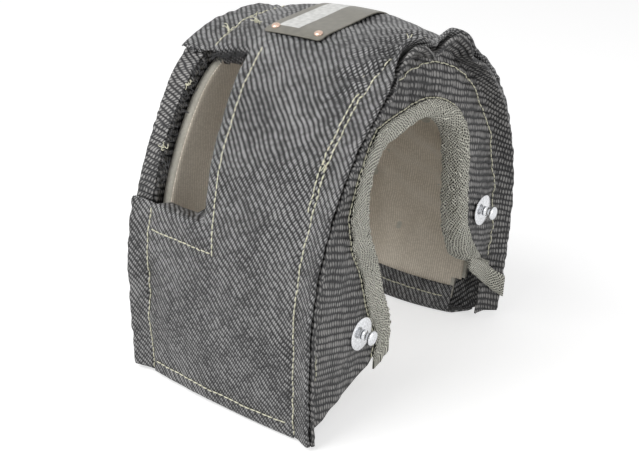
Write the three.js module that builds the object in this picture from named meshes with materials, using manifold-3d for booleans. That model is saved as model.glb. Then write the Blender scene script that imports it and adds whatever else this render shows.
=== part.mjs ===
// Heat blanket for a turbocharger's turbine housing.
// A sewn cover in three thicknesses (woven outer cloth, needled insulation, lining
// cloth): one long band that runs up, over and down the housing, and a panel on
// each side, joined to it by a standing welt seam. Knitted wire mesh binds the
// arched opening of each panel. Millimetres, +Z up, standing on its lower edges.
// X is the housing's axis, Y runs from the front leg (-) to the rear leg (+).

import * as THREE from 'three';
import { mergeVertices } from 'three/addons/utils/BufferGeometryUtils.js';
import Module from 'manifold-3d';

const wasm = await Module();
wasm.setup();

// Driving dimensions

const faceHalfDepth = 93.5;      // from the housing's axis to the band's outer face, at the legs
const archRise = 125;            // height of the arch above its springing
const springHeight = 60;         // where the straight legs turn into the arch
const seamHalfWidth = 50;        // from the middle of the band to its seam line
const clothThickness = 1.4;
const insulationThickness = 6;
const liningThickness = 1;
const layerGap = 0.3;
const bandCrown = 2;             // how far the band's face swells between its seams
const panelCrown = 2.5;          // how far a side panel swells between seam and opening
const weltLength = 10.5;         // how far the sewn edges stand out at the front leg
const weltThickness = 2.4;       // one edge, its cloth turned double
const hemDepth = 17;             // height of the cloth turned up inside the lower edge
const frontLegLean = 2.5;        // how far each leg draws in at its lower edge
const rearLegLean = 6;
const rearSplay = 2.5;           // how much wider the right seam stands at the rear leg

const rearLegBow = 12;           // how far the rear leg's lower edge bows in at the middle
const crownLifts = [             // swells of the band over the crown: y, height, reach
  { y: 25, height: 6, reach: 17 },
  { y: -27, height: 2.5, reach: 12 },
];

const cutoutBottomAngle = 19;    // the cut-out in the band, as angles up the arch
const cutoutTopAngle = 66;
const cutoutTopDrop = 3;         // how much lower its upper edge is at the left seam
const cutoutEdgeBottom = -12;    // where its right edge starts and ends
const cutoutEdgeTop = -26;
const cutoutHem = 20;            // cloth turned in round the cut-out

// Width of the wire mesh on the outside of the panel, by the angle up the arch
const trimFace = [[-28, 13], [0, 15], [45, 15], [90, 9], [125, 6.5], [175, 6.5], [190, 9]];
const rimTurnWidth = 14;         // left panel's cloth turned in beside the cut-out

const trimInside = 9;
const trimThickness = 1.8;
const tailHeight = 13;           // its end over the rear welt
const trimHang = 4;              // how far its ends hang past the panel, per degree

const plateWidth = 36;
const plateLength = 64;
const plateThickness = 0.8;
const plateCentre = [-7.5, 4];   // x, and y along the top
const plateTurn = 1;             // degrees out of line with the band
const plateCorner = 2;
const rivetInset = 4.5;
const rivetRadius = 2.2;
const rivetHeight = 1.1;

const studDiscRadius = 9;
const studDiscThickness = 0.9;
const studDish = 1;
const studNeckRadius = 1.7;
const studNeckLength = 4.2;
const studHeadRadius = 4;
const studHeadThickness = 2;
const backingRadius = 7;
const holeClearance = 0.3;

// Where the lacing studs stand on each side panel: y and z
const studPlaces = { front: [-46, 44], rear: [67, 77] };

// Opening of the right panel. Each row is an angle up the arch, in degrees, and the
// y and z of the edge that lies level with it.
const openingEdge = [
  [-28, -18, 25], [-20, -17, 33], [-12, -19, 43], [0, -26, 59], [12, -33, 79],
  [25, -40, 94], [38, -44, 110], [52, -43, 126], [64, -35, 138], [76, -19, 143],
  [90, 0, 147], [104, 17, 145], [118, 31, 137.5], [132, 39, 126], [147, 42, 110],
  [162, 43, 93], [174, 45, 76], [184, 50, 61], [190, 58, 49], [194, 70, 37],
  [197, 86, 24],
];

// Opening of the left panel, a plain arch round the bearing housing
const leftArch = { y: 12, halfWidth: 30, spring: 72, rise: 31, foot: 14 };

// Depths below the outer face at which each thickness begins
const insulationDepth = clothThickness + layerGap;
const liningDepth = insulationDepth + insulationThickness + layerGap;
const facingDepth = liningDepth + liningThickness + layerGap;
const wallDepth = facingDepth + clothThickness;

const radians = Math.PI / 180;
const startAngle = -springHeight / archRise / radians;
const endAngle = 180 - startAngle;

// Materials

const cloth = { color: 0x4a4a50, roughness: 0.75, metalness: 0.1 };
const wool = { color: 0xd8d2c4, roughness: 1, metalness: 0 };
const liningCloth = { color: 0xa39783, roughness: 0.95, metalness: 0 };
const wireMesh = { color: 0x9b977f, roughness: 0.5, metalness: 0.6 };
const plateMetal = { color: 0x6e675b, roughness: 0.45, metalness: 0.5 };
const copper = { color: 0xd9b8a0, roughness: 0.35, metalness: 0.8 };
const steel = { color: 0xd0d2d6, roughness: 0.2, metalness: 0.9 };

// Small helpers

const clamp = THREE.MathUtils.clamp;
const lerp = THREE.MathUtils.lerp;
const smooth = THREE.MathUtils.smoothstep;

function range(from, to, count) {
  return Array.from({ length: count + 1 }, (_, i) => lerp(from, to, i / count));
}

// Value between rows [angle, a, b] by a smooth curve through them
function along(rows, angle) {
  const last = rows.length - 1;
  if (angle <= rows[0][0]) return rows[0].slice(1);
  if (angle >= rows[last][0]) return rows[last].slice(1);
  let i = 0;
  while (rows[i + 1][0] < angle) i++;
  const [a, b] = [rows[i], rows[i + 1]];
  const before = rows[Math.max(i - 1, 0)];
  const after = rows[Math.min(i + 2, last)];
  const f = (angle - a[0]) / (b[0] - a[0]);
  return a.slice(1).map((value, k) => {
    const [p0, p1, p2, p3] = [before[k + 1], value, b[k + 1], after[k + 1]];
    const slope1 = (p2 - p0) / 2;
    const slope2 = (p3 - p1) / 2;
    const f2 = f * f;
    const f3 = f2 * f;
    return (2 * f3 - 3 * f2 + 1) * p1 + (f3 - 2 * f2 + f) * slope1
      + (3 * f2 - 2 * f3) * p2 + (f3 - f2) * slope2;
  });
}

// The band's outer face: legs, arch and legs again, by one angle

function facePoint(angle, out) {
  const bend = clamp(angle, 0, 180) * radians;
  const below = Math.max(-angle, angle - 180, 0) / -startAngle;
  const lean = (angle < 90 ? frontLegLean : -rearLegLean) * below * below;
  const normal = new THREE.Vector2(-Math.cos(bend) / faceHalfDepth, Math.sin(bend) / archRise);
  normal.normalize();
  return new THREE.Vector2(
    -faceHalfDepth * Math.cos(bend) + lean + normal.x * out,
    springHeight * (1 - below) + archRise * Math.sin(bend) + normal.y * out,
  );
}

// Value of a plain row [angle, value] at an angle, in straight steps
function stepped(rows, angle) {
  const next = rows.findIndex((row) => row[0] >= angle);
  if (next <= 0) return rows[next < 0 ? rows.length - 1 : 0][1];
  const [a, b] = [rows[next - 1], rows[next]];
  return lerp(a[1], b[1], (angle - a[0]) / (b[0] - a[0]));
}

function bandPoint(angle, x, out) {
  const p = facePoint(angle, out);
  return new THREE.Vector3(x, p.x, p.y);
}

// Seam line and welt of each side: where the seam lies, how long the welt is and
// how steeply it stands from the band's face

function seam(side, angle) {
  const rear = smooth(angle, 95, 190);
  const crown = Math.sin(clamp(angle, 0, 180) * radians);
  if (side > 0) {
    const ruck = smooth(angle, 58, 72) * (1 - smooth(angle, 104, 122));
    return {
      x: seamHalfWidth + rearSplay * rear - 2 * ruck,
      tilt: (22 + 26 * rear - 14 * crown + ruck * (22 + 24 * Math.sin(angle * 0.26))) * radians,
      length: weltLength + 2 * crown - rear - ruck * (1.5 + 2 * Math.cos(angle * 0.26)),
      splay: (1.5 + 6 * rear + 10 * ruck) * radians,
    };
  }
  const flare = Math.exp(-(((angle - 62) / 18) ** 2));
  return {
    x: seamHalfWidth + crown + 3 * flare,
    tilt: (11 - 5 * crown) * radians,
    length: weltLength + 1.6 - 1.8 * crown + 3 * flare,
    splay: 3 * radians,
  };
}

function panelFace(side, angle) {
  return seam(side, angle).x + 3;
}

// Closed meshes

// A solid through a row of closed outlines with equal counts, its ends capped. Both
// halves of the outlines are split along the same diagonals, so that the face of one
// thickness lies evenly over the next.
function loft(outlines) {
  const count = outlines[0].length;
  const positions = outlines.flat().flatMap((p) => [p.x, p.y, p.z]);
  const faces = [];
  for (let i = 0; i + 1 < outlines.length; i++) {
    for (let k = 0; k < count; k++) {
      const a = i * count + k;
      const b = i * count + (k + 1) % count;
      if (k < count / 2) faces.push(a, b, b + count, a, b + count, a + count);
      else faces.push(a, b, a + count, b, b + count, a + count);
    }
  }
  const cap = (outline, start, flip) => {
    const normal = new THREE.Vector3();
    outline.forEach((p, k) => normal.add(p.clone().cross(outline[(k + 1) % count])));
    normal.normalize();
    const across = outline[1].clone().sub(outline[0]);
    across.addScaledVector(normal, -across.dot(normal)).normalize();
    const up = normal.clone().cross(across);
    const flat = outline.map((p) => new THREE.Vector2(p.dot(across), p.dot(up)));
    for (const [a, b, c] of THREE.ShapeUtils.triangulateShape(flat, [])) {
      faces.push(start + a, start + (flip ? c : b), start + (flip ? b : c));
    }
  };
  cap(outlines[0], 0, true);
  cap(outlines[outlines.length - 1], (outlines.length - 1) * count, false);
  const geometry = new THREE.BufferGeometry();
  geometry.setAttribute('position', new THREE.Float32BufferAttribute(positions, 3));
  geometry.setIndex(faces);
  return geometry;
}

function merged(geometry) {
  const plain = geometry.clone();
  plain.deleteAttribute('normal');
  plain.deleteAttribute('uv');
  return mergeVertices(plain, 1e-4);
}

// A closed mesh as a solid. Triangles that merging folds to nothing, as at the pole
// of a turned shape, are left out.
function toSolid(geometry) {
  const plain = merged(geometry);
  const index = plain.index.array;
  const faces = [];
  for (let i = 0; i < index.length; i += 3) {
    const [a, b, c] = index.slice(i, i + 3);
    if (a !== b && b !== c && c !== a) faces.push([a, b, c]);
  }
  const build = (triangles) => new wasm.Manifold(new wasm.Mesh({
    numProp: 3,
    vertProperties: new Float32Array(plain.attributes.position.array),
    triVerts: new Uint32Array(triangles.flat()),
  }));
  const solid = build(faces);
  return solid.volume() > 0 ? solid : build(faces.map(([a, b, c]) => [a, c, b]));
}

function toGeometry(solid) {
  const mesh = solid.getMesh();
  const geometry = new THREE.BufferGeometry();
  geometry.setAttribute('position', new THREE.Float32BufferAttribute(mesh.vertProperties, 3));
  geometry.setIndex(Array.from(mesh.triVerts));
  geometry.computeVertexNormals();
  return geometry;
}

const blanket = new THREE.Group();

function addPiece(name, solid, finish) {
  const mesh = new THREE.Mesh(toGeometry(solid), new THREE.MeshStandardMaterial(finish));
  mesh.name = name;
  blanket.add(mesh);
  return mesh;
}

// Stations up the front leg, over the arch and down the rear leg, closer over the crown
const stations = [
  ...range(startAngle, 0, 3).slice(0, -1),
  ...range(0, 54, 6),
  ...range(58.5, 130.5, 16),
  ...range(135, 180, 5),
  ...range(180, endAngle, 3).slice(1),
];
const insideStations = stations.slice(1, -1);

// Band

// Lines along the band, from its middle line outwards, between which its face is
// drawn straight in every thickness
const faceLines = [-0.86, -0.5, 0, 0.5, 0.86].map((share) => share * seamHalfWidth);

// How far the outer face swells from its even curve at one place of the band
function swellAt(x, angle) {
  const middle = 1 - Math.min(1, (x / seamHalfWidth) ** 2);
  const y = facePoint(angle, 0).x;
  const lift = angle < 0 || angle > 180 ? 0 : crownLifts.reduce(
    (sum, swell) => sum + swell.height * Math.exp(-(((y - swell.y) / swell.reach) ** 2)), 0,
  );
  const below = Math.max(angle - 180, 0) / -startAngle;
  return middle * (bandCrown - rearLegBow * below) + lift * Math.sqrt(middle);
}

function crownAt(x, angle) {
  const lines = [-seamHalfWidth, ...faceLines, seamHalfWidth];
  const inside = clamp(x, -seamHalfWidth, seamHalfWidth);
  const next = clamp(lines.findIndex((line) => line >= inside), 1, lines.length - 1);
  const [a, b] = [lines[next - 1], lines[next]];
  return lerp(swellAt(a, angle), swellAt(b, angle), (inside - a) / (b - a));
}

// One edge of the band, turned double and standing out: from the seam to its tip
// and back under it, as x and distance from the face
function weltOutline(side, angle) {
  const { x, tilt, length, splay } = seam(side, angle);
  const along = new THREE.Vector2(Math.cos(tilt + splay), Math.sin(tilt + splay));
  const under = new THREE.Vector2(along.y, -along.x);
  const at = (reach, depth) => [
    side * (x + along.x * reach + under.x * depth),
    along.y * reach + under.y * depth,
  ];
  const edge = weltThickness * 0.42;
  return [
    at(0, 0.5), at(length * 0.45, -0.3), at(length - edge, 0), at(length, weltThickness / 2),
    at(length - edge, weltThickness), at(0.6, weltThickness), [side * (x - 2), -clothThickness],
  ];
}

function bandOutline(angle) {
  const right = weltOutline(1, angle);
  const left = weltOutline(-1, angle);
  return [
    ...left.slice().reverse(),
    ...faceLines.map((x) => [x, crownAt(x, angle)]),
    ...right,
    ...faceLines.slice().reverse().map((x) => [x, crownAt(x, angle) - clothThickness]),
  ].map(([x, out]) => bandPoint(angle, x, out));
}

// A flat strip within the band's wall: from one x to another and between two depths
function bandLayer(left, right, from, to, angles) {
  const xs = [left, ...faceLines.filter((x) => x > left + 0.5 && x < right - 0.5), right];
  return toSolid(loft(angles.map((angle) => [
    ...xs.map((x) => bandPoint(angle, x, crownAt(x, angle) - from)),
    ...xs.slice().reverse().map((x) => bandPoint(angle, x, crownAt(x, angle) - to)),
  ])));
}

// Cloth turned under a lower edge of the band and up inside it
function bandHem(rear) {
  const lift = (height) => (springHeight - height) / springHeight * -startAngle;
  const angleAt = (height) => (rear ? 180 + lift(height) : -lift(height));
  const half = seamHalfWidth - wallDepth - 2;
  const right = rear ? seam(1, 180).x + 0.5 : half;
  const facing = facingDepth + layerGap;
  const back = facing + clothThickness;
  const profile = [
    [0.5, 0], [back, 0], [back, hemDepth / 2], [back, hemDepth],
    [facing, hemDepth], [facing, hemDepth / 2], [facing, clothThickness],
    [0.5, clothThickness],
  ];
  const xs = [-half, ...faceLines.filter((x) => x > -half && x < right), right];
  if (rear) xs.reverse();
  return toSolid(loft(xs.map((x) => profile.map(([depth, height]) => {
    const angle = angleAt(height);
    return bandPoint(angle, x, crownAt(x, angle) - depth);
  }))));
}

// The cut-out runs out through the left seam. A block through the wall inside it,
// less a margin all round where the margin is negative.
function cutoutBlock(margin) {
  const step = margin / archRise / radians;
  const bottom = cutoutBottomAngle - step;
  const top = cutoutTopAngle + step;
  const far = -seamHalfWidth - 3 * weltLength;
  const depths = [20, -30];
  return toSolid(loft(range(0, 1, 6).map((rise) => {
    const right = lerp(cutoutEdgeBottom, cutoutEdgeTop, rise) + margin;
    const xs = range(far, right, 4);
    const at = (x, out) => {
      const drop = cutoutTopDrop * clamp((right - x) / (right + seamHalfWidth), 0, 1.4);
      const angle = lerp(bottom, top - drop, rise);
      return bandPoint(angle, x, crownAt(x, angle) + out);
    };
    return [...xs.map((x) => at(x, depths[0])), ...xs.reverse().map((x) => at(x, depths[1]))];
  })));
}

// The cut-out's three edges, bound with the outer cloth: a wall through the
// thickness and a facing inside
function cutoutBinding() {
  const left = -(seamHalfWidth - 2.6);
  const angles = stations.filter((angle) => angle >= 0 && angle < 100);
  const wall = cutoutBlock(clothThickness)
    .intersect(bandLayer(left, 10, 0.5, wallDepth, angles));
  const facing = cutoutBlock(cutoutHem)
    .intersect(bandLayer(left + wallDepth, 20, facingDepth, wallDepth, angles));
  return facing.add(wall).subtract(cutoutBlock(0));
}

// Side panels

const rimDepth = 3.4;            // how far below the band's face a panel meets the seam
const seamBend = 6.5;            // where the panel turns out into its welt
const seamStrip = 10.5;          // what is left of the right panel down the rear leg
const trimEnd = 194;

// Stations of a panel, closer where the right opening runs out to the rear leg
function panelAngles(side) {
  if (side < 0) return stations;
  const rearLeg = [184, 187, 190, 192, 194, 196, 197, 199, endAngle];
  return [...stations.filter((angle) => angle <= 180), ...rearLeg];
}

// The line across a panel at one angle, from the opening's edge to the seam: its ends,
// its length, how far the wire mesh covers it outside and inside, and the distances
// between which the panel is drawn straight in every thickness
function panelLine(side, angle) {
  const inner = openingPoint(side, angle);
  const rim = facePoint(angle, -rimDepth);
  const full = inner.distanceTo(rim);
  const across = rim.clone().sub(inner).divideScalar(full);
  const ahead = openingPoint(side, angle + 0.8).sub(openingPoint(side, angle - 0.8));
  const into = new THREE.Vector2(-ahead.y, ahead.x).normalize();
  const slant = Math.max(into.dot(across), 0.6);
  const end = full - (seamBend + 1 - rimDepth);
  const outside = Math.min(stepped(trimFace, angle) / slant, Math.max(end * 0.6 - 0.3, 2.4));
  const inside = Math.min(trimInside / slant, full + 1);
  const first = Math.min(Math.max(outside, inside) + 1.2, end * 0.6);
  const knots = [0, first, (first + end) / 2, end, full];
  return { inner, across, into, full, outside, inside, knots };
}

// How far a panel swells at one distance from its opening
function panelSwell(distance, line, angle) {
  const foot = 1 - 0.7 * Math.max(-angle, angle - 180, 0) / -startAngle;
  const height = panelCrown * Math.min(1, line.full / 40) * foot;
  const bulge = (reach) => height * 4 * (reach / line.full) * (1 - reach / line.full);
  const at = clamp(distance, 0, line.full);
  const next = Math.max(line.knots.findIndex((knot) => knot >= at - 1e-9), 1);
  const [a, b] = [line.knots[next - 1], line.knots[next]];
  return lerp(bulge(a), bulge(b), (at - a) / (b - a));
}

// A point of a panel at one distance from its opening and one depth below its face
function panelPoint(side, angle, line, distance, depth) {
  const p = line.inner.clone().addScaledVector(line.across, distance);
  const x = panelFace(side, angle) + panelSwell(distance, line, angle) - depth;
  return new THREE.Vector3(side * x, p.x, p.y);
}

// Edge of the opening level with an angle. At the rear leg it runs out to a narrow
// strip beside the seam.
function openingPoint(side, angle) {
  if (side < 0) {
    const { y, halfWidth, spring, rise, foot } = leftArch;
    const bend = clamp(angle, 0, 180) * radians;
    const below = Math.max(-angle, angle - 180, 0) / -startAngle;
    return new THREE.Vector2(
      y - halfWidth * Math.cos(bend),
      lerp(spring, foot, below) + rise * Math.sin(bend),
    );
  }
  const strip = facePoint(angle, -seamStrip);
  const [y, z] = along(openingEdge, angle);
  return angle > 190 && (y > strip.x || z > strip.y) ? strip : new THREE.Vector2(y, z);
}

// How far out the panel's face lies at a place given as y and z
function panelFaceAt(side, place) {
  let best = { off: Infinity };
  for (const angle of range(startAngle, endAngle, 120)) {
    const line = panelLine(side, angle);
    for (const distance of range(0, line.full, 20)) {
      const p = panelPoint(side, angle, line, distance, 0);
      const off = Math.hypot(p.y - place[0], p.z - place[1]);
      if (off < best.off) best = { off, x: Math.abs(p.x) };
    }
  }
  return best.x;
}

function panelOutline(side, angle) {
  const { x, tilt, length, splay } = seam(side, angle);
  const down = new THREE.Vector2(Math.sin(tilt), -Math.cos(tilt));
  const along = new THREE.Vector2(Math.cos(tilt - splay), Math.sin(tilt - splay));
  const under = new THREE.Vector2(along.y, -along.x);
  const start = weltThickness + layerGap + 0.3;
  const at = (reach, depth) => bandPoint(
    angle,
    side * (x + down.x * start + along.x * reach + under.x * depth),
    down.y * start + along.y * reach + under.y * depth,
  );
  const edge = weltThickness * 0.42;
  const line = panelLine(side, angle);
  const [opening, first, second, end] = line.knots;
  return [
    ...[opening, first, second, end].map((reach) => panelPoint(side, angle, line, reach, 0)),
    at(1.6, weltThickness), at(length - edge, weltThickness), at(length, weltThickness / 2),
    at(length - edge, 0), at(0.8, 0.1),
    ...[end + 1, second, first, opening]
      .map((reach) => panelPoint(side, angle, line, reach, clothThickness)),
  ];
}

// A layer within a panel's wall. It stops short of the opening's edge and of the seam.
function panelLayer(side, from, to, angles) {
  return toSolid(loft(angles.map((angle) => {
    const line = panelLine(side, angle);
    const start = 1.2;
    const end = line.full - (liningDepth + 3 - rimDepth);
    const [, first, second] = line.knots;
    const reaches = [start, Math.min(first, lerp(start, end, 0.4)), Math.min(second, lerp(start, end, 0.8)), end];
    return [
      ...reaches.map((reach) => panelPoint(side, angle, line, reach, from)),
      ...reaches.slice().reverse().map((reach) => panelPoint(side, angle, line, reach, to)),
    ];
  })));
}

// Cloth turned under a lower edge of a panel and up inside it
function panelHem(side, rear) {
  const foot = rear ? endAngle : startAngle;
  const up = (size) => foot + (rear ? -1 : 1) * size * 0.47;
  const profile = [
    [0.5, 0], [wallDepth, 0], [wallDepth, hemDepth / 2], [wallDepth, hemDepth],
    [facingDepth, hemDepth], [facingDepth, hemDepth / 2], [facingDepth, clothThickness],
    [0.5, clothThickness],
  ];
  return toSolid(loft(range(0, 1, 3).map((share) => profile.map(([depth, size]) => {
    const line = panelLine(side, up(size));
    const end = line.full - (wallDepth + 1 - rimDepth);
    const reach = lerp(line.inside + 1, end, share);
    return panelPoint(side, up(size), line, reach, depth);
  }))));
}

// The left panel's cloth turned in over its rim, where the cut-out bares it
function rimTurn() {
  const angles = range(cutoutBottomAngle + 0.4, cutoutTopAngle - cutoutTopDrop - 0.4, 8);
  return toSolid(loft(angles.map((angle) => {
    const start = -panelFace(-1, angle) + 0.6;
    const corners = [[0, -4], [rimTurnWidth, -4.4], [rimTurnWidth, -5.8], [0, -5.4]];
    return corners.map(([x, out]) => bandPoint(angle, start + x, out));
  })));
}

// Wire mesh over the opening's edge: a strip on the face, a fold round the wall and a
// strip inside
function meshTrim(side) {
  const hung = [startAngle - 1.2, ...panelAngles(side), ...(side > 0 ? [] : [endAngle + 1.2])];
  const angles = hung.filter((angle) => side < 0 || angle <= trimEnd);
  return toSolid(loft(angles.map((angle) => {
    const within = clamp(angle, startAngle, endAngle);
    const line = panelLine(side, within);
    const hang = trimHang * Math.abs(angle - within);
    const here = line.inner.clone().add(new THREE.Vector2(0, -hang));
    const face = panelFace(side, within);
    const t = trimThickness;
    const swell = (reach) => panelSwell(reach, line, within);
    const outer = (reach, lift) => [reach, face + swell(reach) + layerGap + lift];
    const inner = (reach, lift) => [reach, face + swell(reach) - facingDepth - lift];
    const ring = [
      outer(0, 0), outer(line.outside, 0.1), outer(line.outside, t * 0.6), outer(line.outside * 0.5, t),
      outer(1, t), outer(-layerGap - t * 0.7, t * 0.4), inner(-layerGap - t, -3),
      inner(-layerGap - t * 0.7, t * 0.4), inner(1, t),
      inner(line.inside, t * 0.6), inner(line.inside, 0.1),
      inner(0, 0), inner(-layerGap, -2), outer(-layerGap, -1.2),
    ];
    return ring.map(([reach, x]) => {
      const p = here.clone().addScaledVector(reach > 0 ? line.across : line.into, reach);
      return new THREE.Vector3(side * x, p.x, p.y);
    });
  })));
}

// The mesh's end at the rear leg, laid flat out over the welt
function trimTail() {
  const root = seam(1, 190);
  const foot = facePoint(197.5, 0);
  const start = weltThickness * 2 + layerGap + 0.6 + layerGap;
  const tilt = root.tilt - root.splay;
  const along = new THREE.Vector2(Math.cos(tilt), Math.sin(tilt));
  const under = new THREE.Vector2(along.y, -along.x);
  const at = (reach, depth) => [
    root.x + under.x * (start + depth) + along.x * reach,
    foot.x + under.y * (start + depth) + along.y * reach,
  ];
  const face = panelFace(1, 190) + layerGap;
  const t = trimThickness;
  const rows = [
    { low: [face + 0.9, 74], high: [face + 0.9 + t, 74], z: 36 },
    { low: [face + 0.8, 82], high: [face + 0.8 + t, 80.5], z: 31 },
    { low: at(1.5, 0.2), high: at(1, t + 0.2), z: 26 },
    { low: at(root.length * 0.55, 0.2), high: at(root.length * 0.55, t + 0.2), z: 23 },
    { low: at(root.length, 0.2), high: at(root.length, t), z: 20.5 },
  ];
  return toSolid(loft(rows.map(({ low, high, z }) => [
    new THREE.Vector3(low[0], low[1], z - tailHeight / 2),
    new THREE.Vector3(high[0], high[1], z - tailHeight / 2),
    new THREE.Vector3(high[0], high[1], z + tailHeight / 2),
    new THREE.Vector3(low[0], low[1], z + tailHeight / 2),
  ])));
}

// Building

const bandSheet = toSolid(loft(stations.map(bandOutline)));
const bandOuter = bandSheet.subtract(cutoutBlock(0))
  .add(cutoutBinding()).add(bandHem(false)).add(bandHem(true));
addPiece('band_outer', bandOuter, cloth);

const overHem = (clothThickness + layerGap) / springHeight * -startAngle;
const innerAngles = [startAngle + overHem, ...insideStations, endAngle - overHem];
const bandHalf = seamHalfWidth - 7;
const bindingClear = clothThickness + layerGap;
addPiece('band_insulation', bandLayer(
  -bandHalf, bandHalf, insulationDepth, insulationDepth + insulationThickness, innerAngles,
).subtract(cutoutBlock(bindingClear)), wool);

const liningHalf = seamHalfWidth + 3 - liningDepth - liningThickness - 2 * layerGap - 1.5;
addPiece('band_lining', bandLayer(
  -liningHalf, liningHalf, liningDepth, liningDepth + liningThickness, innerAngles,
).subtract(cutoutBlock(bindingClear)), liningCloth);

const sides = { right: 1, left: -1 };

function studHole(side, place, radius, from, to) {
  const geometry = merged(new THREE.CylinderGeometry(radius, radius, from - to, 12));
  geometry.rotateZ(Math.PI / 2);
  geometry.translate(side * (from + to) / 2, place[0], place[1]);
  return toSolid(geometry);
}

function pierced(solid, side) {
  let result = solid;
  for (const place of Object.values(studPlaces)) {
    result = result.subtract(studHole(side, place, studNeckRadius + holeClearance, 90, 20));
  }
  return result;
}

for (const [name, side] of Object.entries(sides)) {
  const angles = panelAngles(side);
  const inside = angles.filter((angle) => angle > startAngle && angle < (side > 0 ? 192 : endAngle));
  const lined = [startAngle + 2.2, ...inside, ...(side > 0 ? [] : [endAngle - 2.2])];
  let skin = toSolid(loft(angles.map((angle) => panelOutline(side, angle))));
  skin = skin.add(panelHem(side, false));
  if (side < 0) skin = skin.add(panelHem(side, true)).add(rimTurn());
  addPiece(`side_panel_${name}`, pierced(skin, side), cloth);
  const wadding = panelLayer(side, insulationDepth, insulationDepth + insulationThickness, lined);
  addPiece(`side_insulation_${name}`, pierced(wadding, side), wool);
  const lining = panelLayer(side, liningDepth, liningDepth + liningThickness, lined);
  addPiece(`side_lining_${name}`, pierced(lining, side), liningCloth);
  const trim = side > 0 ? meshTrim(side).add(trimTail()) : meshTrim(side);
  addPiece(`mesh_trim_${name}`, trim, wireMesh);
}

// Name plate, riveted over the crown of the band

function topPoint(x, y, out) {
  const angle = Math.acos(clamp(-y / faceHalfDepth, -1, 1)) / radians;
  return bandPoint(angle, x, crownAt(x, angle) + out);
}

function platePoint(u, v, out) {
  const turn = plateTurn * radians;
  const x = plateCentre[0] + u * Math.cos(turn) - v * Math.sin(turn);
  const y = plateCentre[1] + u * Math.sin(turn) + v * Math.cos(turn);
  return topPoint(x, y, out);
}

// The plate's outline, cut through a strip that lies evenly over the band
const plateSeat = layerGap;
const plateShape = new THREE.Shape();
const [halfWide, halfLong] = [plateWidth / 2 - plateCorner, plateLength / 2 - plateCorner];
plateShape.absarc(halfWide, halfLong, plateCorner, 0, Math.PI / 2);
plateShape.absarc(-halfWide, halfLong, plateCorner, Math.PI / 2, Math.PI);
plateShape.absarc(-halfWide, -halfLong, plateCorner, Math.PI, Math.PI * 1.5);
plateShape.absarc(halfWide, -halfLong, plateCorner, Math.PI * 1.5, Math.PI * 2);
const platePrism = merged(new THREE.ExtrudeGeometry(
  plateShape, { depth: 100, bevelEnabled: false, curveSegments: 3 },
));
platePrism.rotateZ(plateTurn * radians);
platePrism.translate(plateCentre[0], plateCentre[1], springHeight + archRise / 2);
const plateStrip = bandLayer(
  -30, 20, -plateSeat - plateThickness, -plateSeat, stations.filter((angle) => angle > 50 && angle < 130),
);
addPiece('name_plate', plateStrip.intersect(toSolid(platePrism)), plateMetal);

let rivetNumber = 0;
for (const u of [-1, 1]) {
  for (const v of [-1, 1]) {
    rivetNumber += 1;
    const at = (out) => platePoint(
      u * (plateWidth / 2 - rivetInset), v * (plateLength / 2 - rivetInset), out,
    );
    const base = at(plateSeat + plateThickness + layerGap + 0.2);
    const up = at(10).sub(at(0)).normalize();
    const profile = [
      [0, 0], [rivetRadius, 0], [rivetRadius, rivetHeight * 0.35],
      [rivetRadius * 0.7, rivetHeight * 0.85], [0, rivetHeight],
    ].map(([r, h]) => new THREE.Vector2(r, h));
    const geometry = merged(new THREE.LatheGeometry(profile, 12));
    geometry.applyQuaternion(new THREE.Quaternion().setFromUnitVectors(new THREE.Vector3(0, 1, 0), up));
    geometry.translate(base.x, base.y, base.z);
    addPiece(`plate_rivet_${rivetNumber}`, toSolid(geometry), copper);
  }
}

// Lacing studs: a dished disc on the cloth, a spool riveted through the wall and a
// washer behind it

function turned(points, side, place, x) {
  const profile = points.map(([r, h]) => new THREE.Vector2(r, h));
  const geometry = merged(new THREE.LatheGeometry(profile, 14));
  geometry.rotateZ(-Math.PI / 2);
  if (side < 0) geometry.rotateY(Math.PI);
  geometry.translate(side * x, place[0], place[1]);
  return toSolid(geometry);
}

for (const [name, side] of Object.entries(sides)) {
  for (const [end, place] of Object.entries(studPlaces)) {
    const face = panelFaceAt(side, place) + layerGap + 0.3;
    const bore = studNeckRadius + holeClearance;
    const disc = [
      [bore, studDish], [bore, studDish + studDiscThickness],
      [studHeadRadius, studDish + studDiscThickness * 0.9],
      [studDiscRadius, studDiscThickness], [studDiscRadius, 0], [studHeadRadius, studDish * 0.8],
      [bore, studDish],
    ];
    addPiece(`stud_washer_${name}_${end}`, turned(disc, side, place, face), steel);
    const back = -(facingDepth + layerGap + studDiscThickness + 0.8);
    const seat = studDish + studDiscThickness + layerGap;
    const spool = [
      [0, back - 0.8 - layerGap], [studHeadRadius * 0.8, back - 0.8 - layerGap],
      [studHeadRadius * 0.8, back - layerGap], [studNeckRadius, back - layerGap],
      [studNeckRadius, seat], [studNeckRadius * 1.6, seat], [studNeckRadius * 1.2, seat + 1.5],
      [studNeckRadius * 1.2, seat + studNeckLength - 1],
      [studHeadRadius, seat + studNeckLength], [studHeadRadius, seat + studNeckLength + studHeadThickness],
      [0, seat + studNeckLength + studHeadThickness],
    ];
    addPiece(`stud_capstan_${name}_${end}`, turned(spool, side, place, face), steel);
    const backing = [
      [bore, back], [bore, back + studDiscThickness], [backingRadius, back + studDiscThickness],
      [backingRadius, back], [bore, back],
    ];
    addPiece(`stud_backing_${name}_${end}`, turned(backing, side, place, face), steel);
  }
}

// The group's origin: under the middle of the blanket, on the plane it stands on

const bounds = new THREE.Box3().setFromObject(blanket);
const middle = bounds.getCenter(new THREE.Vector3());
for (const mesh of blanket.children) {
  mesh.geometry.translate(-middle.x, -middle.y, -bounds.min.z);
}

export default blanket;
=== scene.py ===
# Heat blanket for a turbocharger's turbine housing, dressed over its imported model.
# Lengths are worked out in millimetres, as in the model, and set down in metres.

import math

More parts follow.
